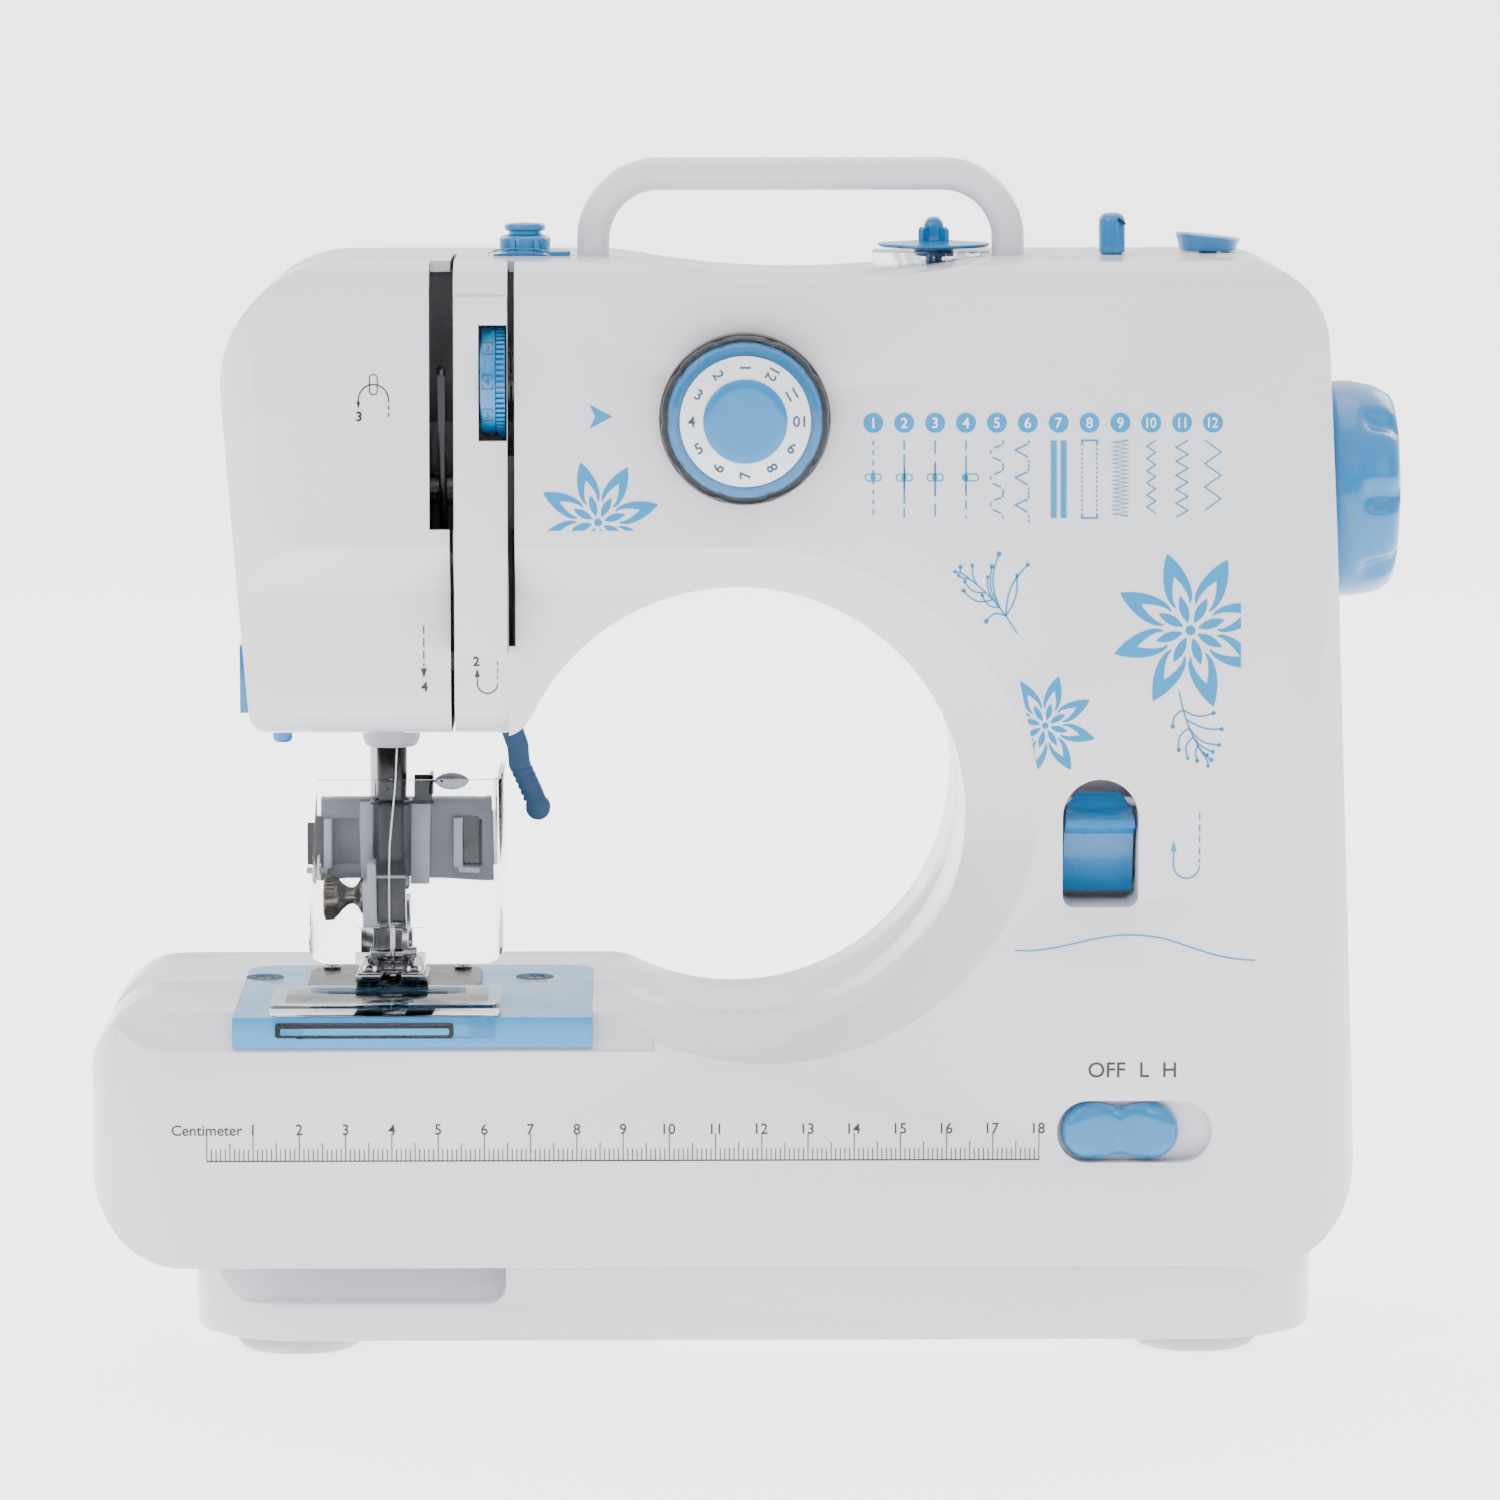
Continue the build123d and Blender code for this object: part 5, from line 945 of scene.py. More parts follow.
def tension_wheel(wheel):
    """Ribbed thumb wheel of the thread tension, digits round its smooth half."""
    radius = (wheel.z1 - wheel.z0) / 2
    y, z = wheel.y, wheel.z
    bm = bmesh.new()
    lathe(bm, [(0, wheel.x0), (radius - 0.6, wheel.x0), (radius - 0.2, wheel.x0 + 0.3),
               (radius - 0.2, wheel.x1 - 2.1),
               (radius - 0.7, wheel.x1 - 2.0), (radius - 0.7, wheel.x1), (0, wheel.x1)], "x", (y, z), 96)
    rib = bmesh.new()
    block(rib, radius - 0.9, radius, -0.3, 0.3, wheel.x1 - 1.9, wheel.x1 - 0.05)
    ribs = repeated(rib, "blue_moulding", 64, turn=2 * math.pi / 64)
    add_mesh(bm, ribs, axis_turn(y, z))
    piece(bm, "tension_wheel_blue", "blue_moulding", "tension_dial", "blue_plastic", ("tension_wheel",),
          0.06, 1)
    bm = bmesh.new()
    for i in range(10):
        flat = bmesh.new()
        label = str((4 - i) % 10)
        flat_text(flat, label, 0, 0, 2.3, 0)
        for a, b in (((-1.1, -1.5), (1.1, -1.5)), ((1.1, -1.5), (1.1, 1.5)), ((1.1, 1.5), (-1.1, 1.5)),
                     ((-1.1, 1.5), (-1.1, -1.5))):
            flat_stroke(flat, [a, b], 0.28)
        stand_film(flat, -0.08, 0.06)
        around = math.radians(2) + math.radians(36) * i
        centre_x = (wheel.x0 + wheel.x1 - 2.1) / 2
        bend = radius - 0.2
        for vert in flat.verts:
            angle = around + vert.co.z / bend
            depth = bend - vert.co.y
            vert.co = Vector((centre_x + vert.co.x, y - depth * math.cos(angle), z + depth * math.sin(angle)))
        mesh = bpy.data.meshes.new("digit")
        flat.to_mesh(mesh)
        flat.free()
        add_mesh(bm, mesh)
    piece(bm, "tension_wheel_digits", "ink_navy", "tension_dial", "blue_dark")


class SEWING_OT_thread_parts(bpy.types.Operator):
    """Take-up lever, tension wheel with its digits and thread cutter"""

    bl_idname = "sewing.thread_parts"
    bl_label = "Thread parts"

    def execute(self, context):
        arm = finished_copy("takeup_lever", "dark_steel", "takeup", "steel", 0.2)
        reach = Room("takeup_lever")
        # painted glint: the chrome band on the lever is put where it catches light in its slot
        paint_faces(arm, "chrome", lambda spot, normal: reach.z0 + 25 < spot.z < reach.z0 + 34)
        tension_wheel(Room("tension_wheel"))
        finished_copy("thread_cutter", "blue_moulding", "machine", "blue_plastic", 0.3)
        return {"FINISHED"}


def speed_knob(slider):
    """Saddle knob: two rounded lobes with a narrow waist between them."""
    end = (slider.z1 - slider.z0) / 2
    bm = bmesh.new()
    steps_x, steps_z = 48, 20
    rows = []
    for i in range(steps_x + 1):
        u = i / steps_x
        x = slider.x0 + (slider.x1 - slider.x0) * u
        reach = min(x - slider.x0, slider.x1 - x)
        half = math.sqrt(max(0.0, end ** 2 - (end - min(reach, end)) ** 2))
        half = max(half, 0.05) * (1 - 0.16 * math.exp(-((u - 0.5) / 0.13) ** 2))
        lobe = math.exp(-((u - 0.12) / 0.16) ** 2) + math.exp(-((u - 0.88) / 0.16) ** 2)
        waist = math.exp(-((u - 0.5) / 0.05) ** 2)
        rise = 0.4 + 2.4 * lobe + 1.3 * waist
        row = []
        for k in range(steps_z + 1):
            w = -1 + 2 * k / steps_z
            drop = 1.0 - abs(w) ** 5
            fall = min(1.0, reach / 1.2)
            row.append(bm.verts.new((x, slider.y0 + 2.4 - rise * drop * fall ** 0.5,
                                     slider.z + half * w)))
        rows.append(row)
    for one, two in zip(rows, rows[1:]):
        for k in range(steps_z):
            bm.faces.new((one[k], one[k + 1], two[k + 1], two[k]))
    rim = [e for e in bm.edges if len(e.link_faces) == 1]
    made = bmesh.ops.extrude_edge_only(bm, edges=rim)["geom"]
    for vert in (g for g in made if isinstance(g, bmesh.types.BMVert)):
        vert.co.y = slider.y0 + 4.4
    bmesh.ops.contextual_create(bm, geom=[e for e in bm.edges if len(e.link_faces) == 1])
    piece(bm, "speed_knob", "blue_moulding", "speed", "blue_plastic", ("speed_slider",))


def lamp_button(button):
    """Small domed push button."""
    bm = bmesh.new()
    radius = 2.2
    lathe(bm, [(0, button.z0), (radius - 0.7, button.z0 + 0.05), (radius - 0.2, button.z0 + 0.4),
               (radius, button.z0 + 1.0), (radius, button.z1 - 1.5), (0, button.z1 - 1.5)], "z",
          (button.x, button.y), 32)
    piece(bm, "lamp_button_cap", "blue_moulding", "lamp_switch", "blue_plastic", ("lamp_button",))


class SEWING_OT_controls(bpy.types.Operator):
    """Reverse lever, speed slider, lamp switch and lamp lens"""

    bl_idname = "sewing.controls"
    bl_label = "Controls"

    def execute(self, context):
        finished_copy("reverse_lever", "blue_moulding", "reverse", "blue_plastic", 0.35, 3)
        speed_knob(Room("speed_slider"))
        lamp_button(Room("lamp_button"))
        carried("clear_moulding", "lamp_lens")
        return {"FINISHED"}


class SEWING_OT_handwheel(bpy.types.Operator):
    """Blue handwheel with finger hollows round its outer half"""

    bl_idname = "sewing.handwheel"
    bl_label = "Handwheel"

    def execute(self, context):
        wheel = Room("handwheel")
        radius = (wheel.z1 - wheel.z0) / 2
        left = wheel.x0
        edge = wheel.x1

        def grip(turn, along):
            share = (along - (edge - 9.5)) / 3.0
            depth = 0.085 * min(1.0, max(0.0, share))
            return 1.0 - depth * max(0.0, math.cos(8 * turn)) ** 2 * (0.0 if along > edge - 0.4 else 1.0)

        bm = bmesh.new()
        lathe(bm, [(0, left), (7.4, left), (7.4, left + 4.2), (radius - 1.4, left + 4.3),
                   (radius - 0.5, left + 4.8),
                   (radius - 0.1, left + 5.8), (radius, left + 9), (radius, edge - 9.6),
                   (radius - 0.15, edge - 8.6),
                   (radius - 0.3, edge - 7.6), (radius - 0.5, edge - 6.4), (radius - 0.9, edge - 4.6),
                   (radius - 1.5, edge - 3.2), (radius - 2.4, edge - 1.8), (radius - 3.8, edge - 0.8),
                   (radius - 5.6, edge - 0.35), (radius - 8, edge - 0.15), (radius - 10, edge - 0.6),
                   (radius - 12, edge - 1.2), (0, edge - 1.4)], "x", (wheel.y, wheel.z), 192, grip)
        piece(bm, "handwheel_blue", "blue_moulding", "drive", "blue_plastic", ("handwheel",))
        return {"FINISHED"}


def thread_guide(base, knob):
    """Stepped guide knob on its base, with a clear wire loop."""
    finished_copy("guide_base", "blue_moulding", "machine", "blue_plastic", 0.3)
    top = base.z1
    x, y = knob.x, knob.y
    bm = bmesh.new()
    lathe(bm, [(5.3, top - 0.3), (5.6, top), (5.6, top + 2.6), (5.1, top + 3.2), (4.0, top + 3.5),
               (3.6, top + 3.7),
               (3.6, top + 4.3), (4.3, top + 4.5), (4.5, top + 4.8), (4.5, knob.z1 - 1.2),
               (4.1, knob.z1 - 0.7),
               (2.8, knob.z1 - 0.6), (2.4, knob.z1 - 0.9), (0, knob.z1 - 0.9)], "z", (x, y), 56)
    for side in (-1, 1):
        block(bm, x + side * 2.6 - 0.5, x + side * 2.6 + 0.5, y - 5.7, y - 4.6, top + 0.3, top + 2.6)
    piece(bm, "guide_knob_blue", "blue_moulding", "machine", "blue_plastic", ("guide_knob",))
    bm = bmesh.new()
    loop = []
    for i in range(13):
        turn = math.pi * i / 12
        loop.append((base.x0 + 6 + 6.5 * math.cos(turn), base.y0 - 1.5 - 1.5 * math.sin(turn), top - 0.4 +
                     0.9 * math.sin(turn)))
    tube(bm, loop, 0.5, 10)
    piece(bm, "guide_loop", "clear_moulding", "machine", "clear_plastic")


def bobbin_winder(winder):
    """Smoky plate, and the spindle with its disc and four fins."""
    finished_copy("winder_plate", "smoky_moulding", "machine", "clear_plastic", 0.15)
    disc = Room("winder_plate").z1 + 0.3
    top = winder.z1
    bm = bmesh.new()
    lathe(bm, [(0, winder.z0 + 0.1), (2.1, winder.z0 + 0.1), (2.1, disc - 1.6), (4.4, disc - 1.4),
               (4.4, disc + 0.2),
               (11.8, disc + 0.6), (12.4, disc + 0.95), (12.3, disc + 1.35), (9, disc + 1.5),
               (4.8, disc + 1.9),
               (2.2, disc + 2.1), (2.2, top - 2.0), (1.9, top - 1.0), (1.2, top - 0.25), (0, top)], "z",
          (winder.x, winder.y), 72)
    fin = bmesh.new()
    prism(fin, [(1.5, disc + 1.6), (4.1, disc + 1.6), (4.1, disc + 4.2), (3.6, disc + 4.8),
                (1.5, disc + 4.9)],
          -0.55, 0.55, "y")
    add_mesh(bm, repeated(fin, "blue_moulding", 4, turn=math.pi / 2, start=math.pi / 4),
             Matrix.Translation((winder.x, winder.y, 0)))
    piece(bm, "winder_spindle_blue", "blue_moulding", "winder", "blue_plastic", ("winder_spindle",))


def spool_pin(pin):
    """Spool pin, with a black prism as painted shade in the slit across its top."""
    px, py, low, high = pin.x, pin.y, pin.z0, pin.z1
    bm = bmesh.new()
    shoulder = Room("guide_base").z0 + 0.36
    lathe(bm, [(0, low), (3.7, low), (3.7, low + 2), (2.38, low + 2), (2.38, shoulder), (2.9, shoulder),
               (2.9, high - 1.8), (2.6, high - 0.8), (1.8, high - 0.2), (0, high)], "z", (px, py), 48)
    piece(bm, "spool_pin_blue", "blue_moulding", "spool", "blue_plastic", ("spool_pin",))
    # painted shade: a black prism stands for the shade in the slit
    bm = bmesh.new()
    prism(bm, [(px + 1.4, high - 1.1), (px + 2.88, high - 2.3), (px + 2.88, high - 2.7),
               (px + 1.0, high - 1.7)],
          py - 3.0, py + 0.2, "y")
    piece(bm, "spool_pin_slit_shade", "shade_black", "spool", "black_plastic")


def winder_stop(stop):
    """Stop with a top that slopes down to the right."""
    radius = (stop.x1 - stop.x0) / 2
    sx, sy = stop.x, stop.y
    rim_low, rim_high = stop.z1 - 1.9, stop.z1
    bm = bmesh.new()
    base_z = Room("guide_base").z0 + 0.36
    steps = 56
    shapes = []
    for share, height in ((0.86, 0.0), (0.9, 0.3), (0.93, 0.55), (0.99, 0.8), (1.0, 0.93), (0.97, 1.0),
                          (0.6, 0.97),
                          (0.0, 0.95)):
        row = []
        for k in range(steps if share else 1):
            t = 2 * math.pi * k / steps
            top_z = rim_high - 1.5 * (0.5 + 0.5 * math.cos(t) * share)
            row.append(bm.verts.new((sx + radius * share * math.cos(t), sy + radius * share * math.sin(t),
                                     base_z + (top_z - base_z) * height)))
        shapes.append(row)
    for one, two in zip(shapes, shapes[1:]):
        join_rows(bm, one, two)
    bm.faces.new(shapes[0])
    lathe(bm, [(0, stop.z0), (4, stop.z0), (4, stop.z0 + 1.6), (2, stop.z0 + 1.6), (2, base_z + 0.5),
               (0, base_z + 0.5)],
          "z", (sx, sy), 32)
    piece(bm, "winder_stop_blue", "blue_moulding", "winder_stop_body", "blue_plastic", ("winder_stop",))


class SEWING_OT_top_fittings(bpy.types.Operator):
    """Thread guide, bobbin winder, spool pin and winder stop on top of the head"""

    bl_idname = "sewing.top_fittings"
    bl_label = "Top fittings"

    def execute(self, context):
        thread_guide(Room("guide_base"), Room("guide_knob"))
        bobbin_winder(Room("winder_spindle"))
        spool_pin(Room("spool_pin"))
        winder_stop(Room("winder_stop"))
        return {"FINISHED"}


# ------------------------------------------------------------------ printed marks
def flat_polygon(bm, points):
    bm.faces.new([bm.verts.new((x, 0, z)) for x, z in points])


def flat_disc(bm, x, z, radius, steps=28):
    flat_polygon(bm, ring_points(radius, steps, (x, z)))


def flat_band(bm, outer, inner, closed=True):
    """Strip between two outlines with the same number of points."""
    one = [bm.verts.new((x, 0, z)) for x, z in outer]
    two = [bm.verts.new((x, 0, z)) for x, z in inner]
    for i in range(len(one) if closed else len(one) - 1):
        j = (i + 1) % len(one)
        bm.faces.new((one[i], one[j], two[j], two[i]))


def flat_stroke(bm, points, width):
    """Line of even width through the points."""
    left, right = [], []
    for i, (x, z) in enumerate(points):
        x0, z0 = points[max(i - 1, 0)]
        x1, z1 = points[min(i + 1, len(points) - 1)]
        if 0 < i < len(points) - 1:
            a = Vector((x - x0, z - z0)).normalized()
            b = Vector((x1 - x, z1 - z)).normalized()
            side = Vector((-(a.y + b.y), a.x + b.x)).normalized()
            size = width / 2 / max(0.5, side.dot(Vector((-a.y, a.x))))
        else:
            a = Vector((x1 - x0, z1 - z0)).normalized()
            side, size = Vector((-a.y, a.x)), width / 2
        left.append(bm.verts.new((x + side.x * size, 0, z + side.y * size)))
        right.append(bm.verts.new((x - side.x * size, 0, z - side.y * size)))
    for i in range(len(points) - 1):
        bm.faces.new((left[i], left[i + 1], right[i + 1], right[i]))


def flat_dashes(bm, x, high, low, dash, gap, width):
    z = high
    while z > low + 0.1:
        flat_stroke(bm, [(x, z), (x, max(z - dash, low))], width)
        z -= dash + gap


def flat_text(bm, text, x, z, size, turn=0.0, slim=1.0, bold=0.0):
    """Centred figures or letters."""
    curve = bpy.data.curves.new("text", "FONT")
    curve.body = text
    curve.size = size
    curve.align_x = "CENTER"
    curve.align_y = "CENTER"
    curve.resolution_u = 4
    curve.offset = bold
    holder = to_object("text", curve)
    bpy.context.view_layer.update()
    mesh = bpy.data.meshes.new_from_object(holder.evaluated_get(bpy.context.evaluated_depsgraph_get()))
    bpy.data.objects.remove(holder)
    bpy.data.curves.remove(curve)
    spots = [v.co for v in mesh.vertices]
    mid_x = (min(p.x for p in spots) + max(p.x for p in spots)) / 2
    mid_z = (min(p.y for p in spots) + max(p.y for p in spots)) / 2
    mesh.transform(Matrix.Translation((-mid_x, -mid_z, 0)))
    upright = Matrix(((slim, 0, 0, 0), (0, 0, -1, 0), (0, 1, 0, 0), (0, 0, 0, 1)))
    add_mesh(bm, mesh, Matrix.Translation((x, 0, z)) @ Matrix.Rotation(-turn, 4, "Y") @ upright)


def stand_film(bm, front, back, surface=None):
    """Give flat shapes a body from front to back; with a surface both are measured from it."""
    bmesh.ops.remove_doubles(bm, verts=bm.verts, dist=0.002)
    faces = list(bm.faces)
    rim = [e for e in bm.edges if len(e.link_faces) == 1]
    lift = {}
    base = {}
    for vert in list(bm.verts):
        rest = surface(vert.co.x, vert.co.z) if surface else 0.0
        lift[vert] = bm.verts.new((vert.co.x, rest + front, vert.co.z))
        base[vert] = bm.verts.new((vert.co.x, rest + back, vert.co.z))
    for face in faces:
        corners = list(face.verts)
        bm.faces.new([lift[v] for v in corners])
        bm.faces.new([base[v] for v in reversed(corners)])
    for edge in rim:
        a, b = edge.verts
        bm.faces.new((lift[a], lift[b], base[b], base[a]))
    bmesh.ops.delete(bm, geom=faces, context="FACES")
    bmesh.ops.delete(bm, geom=[v for v in bm.verts if not v.link_faces], context="VERTS")


def curve_points(a, b, c, d, steps=14):
    """Points along a cubic curve."""
    points = []
    for i in range(steps + 1):
        t = i / steps
        parts = ((1 - t) ** 3, 3 * t * (1 - t) ** 2, 3 * t * t * (1 - t), t ** 3)
        points.append(tuple(sum(w * p[k] for w, p in zip(parts, (a, b, c, d))) for k in (0, 1)))
    return points


def flower(x, z, radius, start, cut=()):
    """Eight-petalled flower; cut holds (point, direction) lines past which nothing is printed."""
    root = (0.32, 0.095)
    outside = curve_points(root, (0.40, 0.205), (0.74, 0.19), (1.0, 0.0))
    inside = curve_points((root[0] + 0.004, root[1] - 0.01), (0.42, 0.12), (0.58, 0.07), (0.70, 0.0))
    core = curve_points((0.1, 0.0), (0.22, 0.085), (0.34, 0.07), (0.45, 0.0), 8)

    def mirrored(points):
        return points + [(r, -a) for r, a in reversed(points[:-1])]

    bm = bmesh.new()
    for k in range(8):
        c, s = math.cos(math.radians(start + 45 * k)), math.sin(math.radians(start + 45 * k))

        def laid(points):
            return [(radius * (r * c - a * s), radius * (r * s + a * c)) for r, a in points]

        flat_band(bm, laid(mirrored(outside)), laid(mirrored(inside)), closed=False)
        flat_polygon(bm, laid(mirrored(core)[:-1]))
    flat_disc(bm, 0, 0, 0.062 * radius, 24)
    bmesh.ops.translate(bm, vec=(x, 0, z), verts=bm.verts)
    for point, away in cut:
        whole = bm.verts[:] + bm.edges[:] + bm.faces[:]
        bmesh.ops.bisect_plane(bm, geom=whole, plane_co=(point[0], 0, point[1]),
                               plane_no=(away[0], 0, away[1]), clear_outer=True)
    mesh = bpy.data.meshes.new("flower")
    bm.to_mesh(mesh)
    bm.free()
    return mesh


def bend(a, b, bow, steps=8):
    """Gentle arc between two points."""
    ax, az = a
    bx, bz = b
    return [(ax + (bx - ax) * t - (bz - az) * bow * math.sin(math.pi * t),
             az + (bz - az) * t + (bx - ax) * bow * math.sin(math.pi * t))
            for t in (i / steps for i in range(steps + 1))]


def berry_spray(bm, foot, tip, width, twigs):
    """Stem with side twigs that end in berries.

    twigs run (share along, side length, lean, bow, berry radius).
    """
    stem = bend(foot, tip, -0.06)
    flat_stroke(bm, stem, width)
    heading = math.atan2(tip[1] - foot[1], tip[0] - foot[0])
    for share, length, lean, bow, berry in twigs:
        root = stem[round(share * (len(stem) - 1))]
        angle = heading + math.radians(lean)
        end = (root[0] + length * math.cos(angle), root[1] + length * math.sin(angle))
        flat_stroke(bm, bend(root, end, bow), width)
        flat_disc(bm, end[0], end[1], berry, 14)


def cover_surface():
    """Function that gives the depth of the covers behind a spot."""
    walls = []
    for name in ("front_cover_finished", "face_cover_finished"):
        mesh = bpy.data.objects[name].data
        corners = [v.co / MM for v in mesh.vertices]
        walls.append(BVHTree.FromPolygons(corners, [p.vertices for p in mesh.polygons]))

    def surface(x, z):
        hits = [tree.ray_cast(Vector((x, -90, z)), Vector((0, 1, 0)))[0] for tree in walls]
        hits = [h.y for h in hits if h is not None]
        if not hits:
            raise RuntimeError(f"a printed mark hangs past the cover at {x:.1f}, {z:.1f}")
        return min(hits)

    return surface


def dial_arrow(bm, dial):
    """Arrow that points at the dial."""
    ax, az = dial.x - 30.9, dial.z + 0.4
    flat_polygon(bm, [(ax - 2.4, az + 2.6), (ax + 2.5, az), (ax - 1.2, az)])
    flat_polygon(bm, [(ax - 1.2, az), (ax + 2.5, az), (ax - 2.4, az - 2.6)])


def icon_numbers(bm, figures, first, pitch, z):
    """Numbered discs over the stitch icons."""
    for i in range(12):
        x = first + pitch * i
        flat_disc(bm, x, z, 2.15, 36)
        flat_text(figures, str(i + 1), x, z, 3.1, 0.0, 1.0 if i < 9 else 0.85, 0.04)


def straight_stitches(bm, first, pitch, high, low, line):
    """Four straight stitches at the eye of a needle."""
    middle = high - 7.9
    for i, (dash, gap) in enumerate(((1.0, 1.1), (1.9, 1.0), (2.8, 1.7), (2.0, 1.2))):
        x = first + pitch * i
        flat_dashes(bm, x, high, low, dash, gap, line)
        shift = 0.95 if i == 3 else 0.0
        outer = [(x + shift + a, middle + b) for a, b in soft_box(-1.85, 1.85, -0.85, 0.85, 0.8, 6)]
        inner = [(x + shift + a, middle + b) for a, b in soft_box(-1.6, 1.6, -0.6, 0.6, 0.55, 6)]
        flat_band(bm, outer, inner)
        flat_disc(bm, x - 0.05, middle, 0.6, 16)
        if i in (1, 2, 3):
            flat_stroke(bm, [(x, middle + 3.0), (x, middle - 4.0)], line)


def stepped_stitch(bm, x, high, low, line):
    """Zigzag made of short steps."""
    z = high
    while z > low + 2:
        for a, b in (((1.35, z), (1.3, z - 0.9)), ((1.0, z - 1.0), (-0.7, z - 1.6)),
                     ((-1.35, z - 2.0), (-1.35, z - 2.8)),
                     ((-0.9, z - 3.6), (0.9, z - 4.4)), ((1.35, z - 4.8), (1.35, z - 5.6))):
            flat_stroke(bm, [(x + a[0], max(a[1], low)), (x + b[0], max(b[1], low - 0.05))], line)
        z -= 5.6


def edged_stitch(bm, x, high, low, line):
    """Half zigzag with a dotted edge."""
    z = high
    while z > low + 2:
        flat_stroke(bm, [(x + 0.2, z), (x + 0.2, z - 0.6)], line)
        flat_stroke(bm, [(x, z - 0.8), (x - 2.7, z - 2.0), (x, z - 3.6)], line)
        for k in range(2):
            flat_stroke(bm, [(x + 0.2, z - 4.2 - 0.9 * k), (x + 0.2, z - 4.7 - 0.9 * k)], line)
        z -= 5.9


def ribbed_bars(bm, x, high, low):
    """Two bold bars with ribbed sides."""
    for side in (-1.05, 1.05):
        flat_stroke(bm, [(x + side, high), (x + side, low)], 1.0)
    count = 34
    for k in range(count):
        z = high - (high - low) * (k + 0.5) / count
        for edge in (-1.65, -0.4, 0.5, 1.68):
            flat_stroke(bm, [(x + edge - 0.12, z), (x + edge + 0.12, z)], 0.24)


def buttonhole(bm, x, high, low, line):
    """Dashed box with closed ends."""
    for side in (-1.6, 1.6):
        flat_dashes(bm, x + side, high - 0.6, low + 0.6, 0.5, 0.5, line)
    for edge, step in ((high, -0.7), (low, 0.7)):
        flat_stroke(bm, [(x - 1.65, edge + step), (x - 1.65, edge), (x + 1.65, edge),
                         (x + 1.65, edge + step)], 0.42)


def zigzags(bm, first, pitch, high, low, line):
    """Zigzags of several widths."""
    for i, half, rise in ((8, 1.65, 0.45), (9, 0.95, 1.3), (10, 1.3, 1.5), (11, 1.75, 2.5)):
        x = first + pitch * i
        points = []
        z = high
        side = 1 if i != 11 else -1
        while z > low:
            points.append((x + side * half, z))
            side = -side
            z -= rise
        flat_stroke(bm, points, 0.36 if i == 8 else line * 0.85)


def stitch_icons(bm, figures, dial, pitch, line):
    """Twelve stitch icons under numbered discs."""
    first, disc_z = dial.x + 27.6, dial.z - 1.0
    high, low = disc_z - 3.8, disc_z - 20.4
    icon_numbers(bm, figures, first, pitch, disc_z)
    straight_stitches(bm, first, pitch, high, low, line)
    stepped_stitch(bm, first + pitch * 4, high, low, line)
    edged_stitch(bm, first + pitch * 5, high, low, line)
    ribbed_bars(bm, first + pitch * 6, high, low)
    buttonhole(bm, first + pitch * 7, high, low, line)
    zigzags(bm, first, pitch, high, low, line)


def flowers_and_berries(bm, dial, big, line):
    """Three flowers, each cut off where the pattern ends, and two berry sprays."""
    for mesh in (flower(dial.x - 31.5, dial.z - 22.2, big * 0.78, 16.5, [((0, dial.z - 24.0), (0, -1))]),
                 flower(dial.x + 95.8, dial.z - 45.5, big, 17, [((dial.x + 106.7, 0), (1, 0))]),
                 flower(dial.x + 64.6, dial.z - 65.9, big * 0.64, 30,
                        [((dial.x + 59.2, dial.z - 56.9), (-0.98, -0.2))])):
        add_mesh(bm, mesh)
    berry_spray(bm, (dial.x + 58.6, dial.z - 46.2), (dial.x + 46.4, dial.z - 33.0), line * 0.9,
                ((0.25, 4.4, 62, -0.25, 0.55), (0.35, 4.6, 12, 0.2, 0.4), (0.35, 9.0, -32, 0.12, 0.55),
                 (0.35, 11.5, -42, 0.12, 0.55), (0.5, 6.6, 30, 0.2, 0.5), (0.5, 5.0, -30, 0.1, 0.4),
                 (0.6, 5.0, 20, 0.2, 0.45), (0.7, 4.4, -28, 0.1, 0.45), (0.85, 2.4, 30, 0.1, 0.4),
                 (1.0, 1.2, -40, 0.1, 0.5), (1.0, 1.3, 40, 0.1, 0.4), (0.25, 12.0, -66, 0.12, 0.45),
                 (0.25, 9.0, -58, -0.1, 0.4)))
    berry_spray(bm, (dial.x + 93.4, dial.z - 58.6), (dial.x + 99.6, dial.z - 73.6), line * 0.9,
                ((0.3, 4.2, -55, -0.2, 0.5), (0.3, 6.6, 62, -0.15, 0.45), (0.4, 8.0, 52, -0.1, 0.5),
                 (0.45, 5.2, -48, -0.2, 0.5), (0.5, 7.4, 38, -0.15, 0.45), (0.6, 4.8, -36, -0.2, 0.4),
                 (0.6, 5.4, 30, -0.1, 0.45), (0.75, 3.4, -24, -0.1, 0.45), (0.8, 3.0, 22, -0.1, 0.4),
                 (1.0, 1.0, -20, 0, 0.4), (0.9, 2.4, 30, 0, 0.5)))


def reverse_arrow(bm, pocket, line):
    """Curved arrow beside the reverse lever."""
    rx, rz = pocket.x1 + 8.6, pocket.z1 - 6.6
    flat_dashes(bm, rx + 5.2, rz + 3.4, rz - 7.4, 1.5, 1.0, line)
    turn = [(rx + 2.4 + 2.8 * math.cos(t), rz - 8.0 + 2.8 * math.sin(t)) for t in
            (-math.pi * k / 12 for k in range(13))]
    flat_stroke(bm, [*turn, (rx - 0.4, rz - 4.8)], line)
    flat_polygon(bm, [(rx - 0.4, rz - 2.6), (rx - 1.1, rz - 5.0), (rx + 0.3, rz - 5.0)])


def wave_line(bm, pocket):
    """Plain wave under the reverse lever."""
    wave = [(pocket.x0 - 11 + 52 * t, pocket.z0 - 11.5 + 3.4 * math.sin(math.pi * (1.15 * t - 0.05)) ** 2
             - 8.0 * max(0.0, t - 0.62) ** 1.2) for t in (k / 40 for k in range(41))]
    flat_stroke(bm, wave, 0.34)


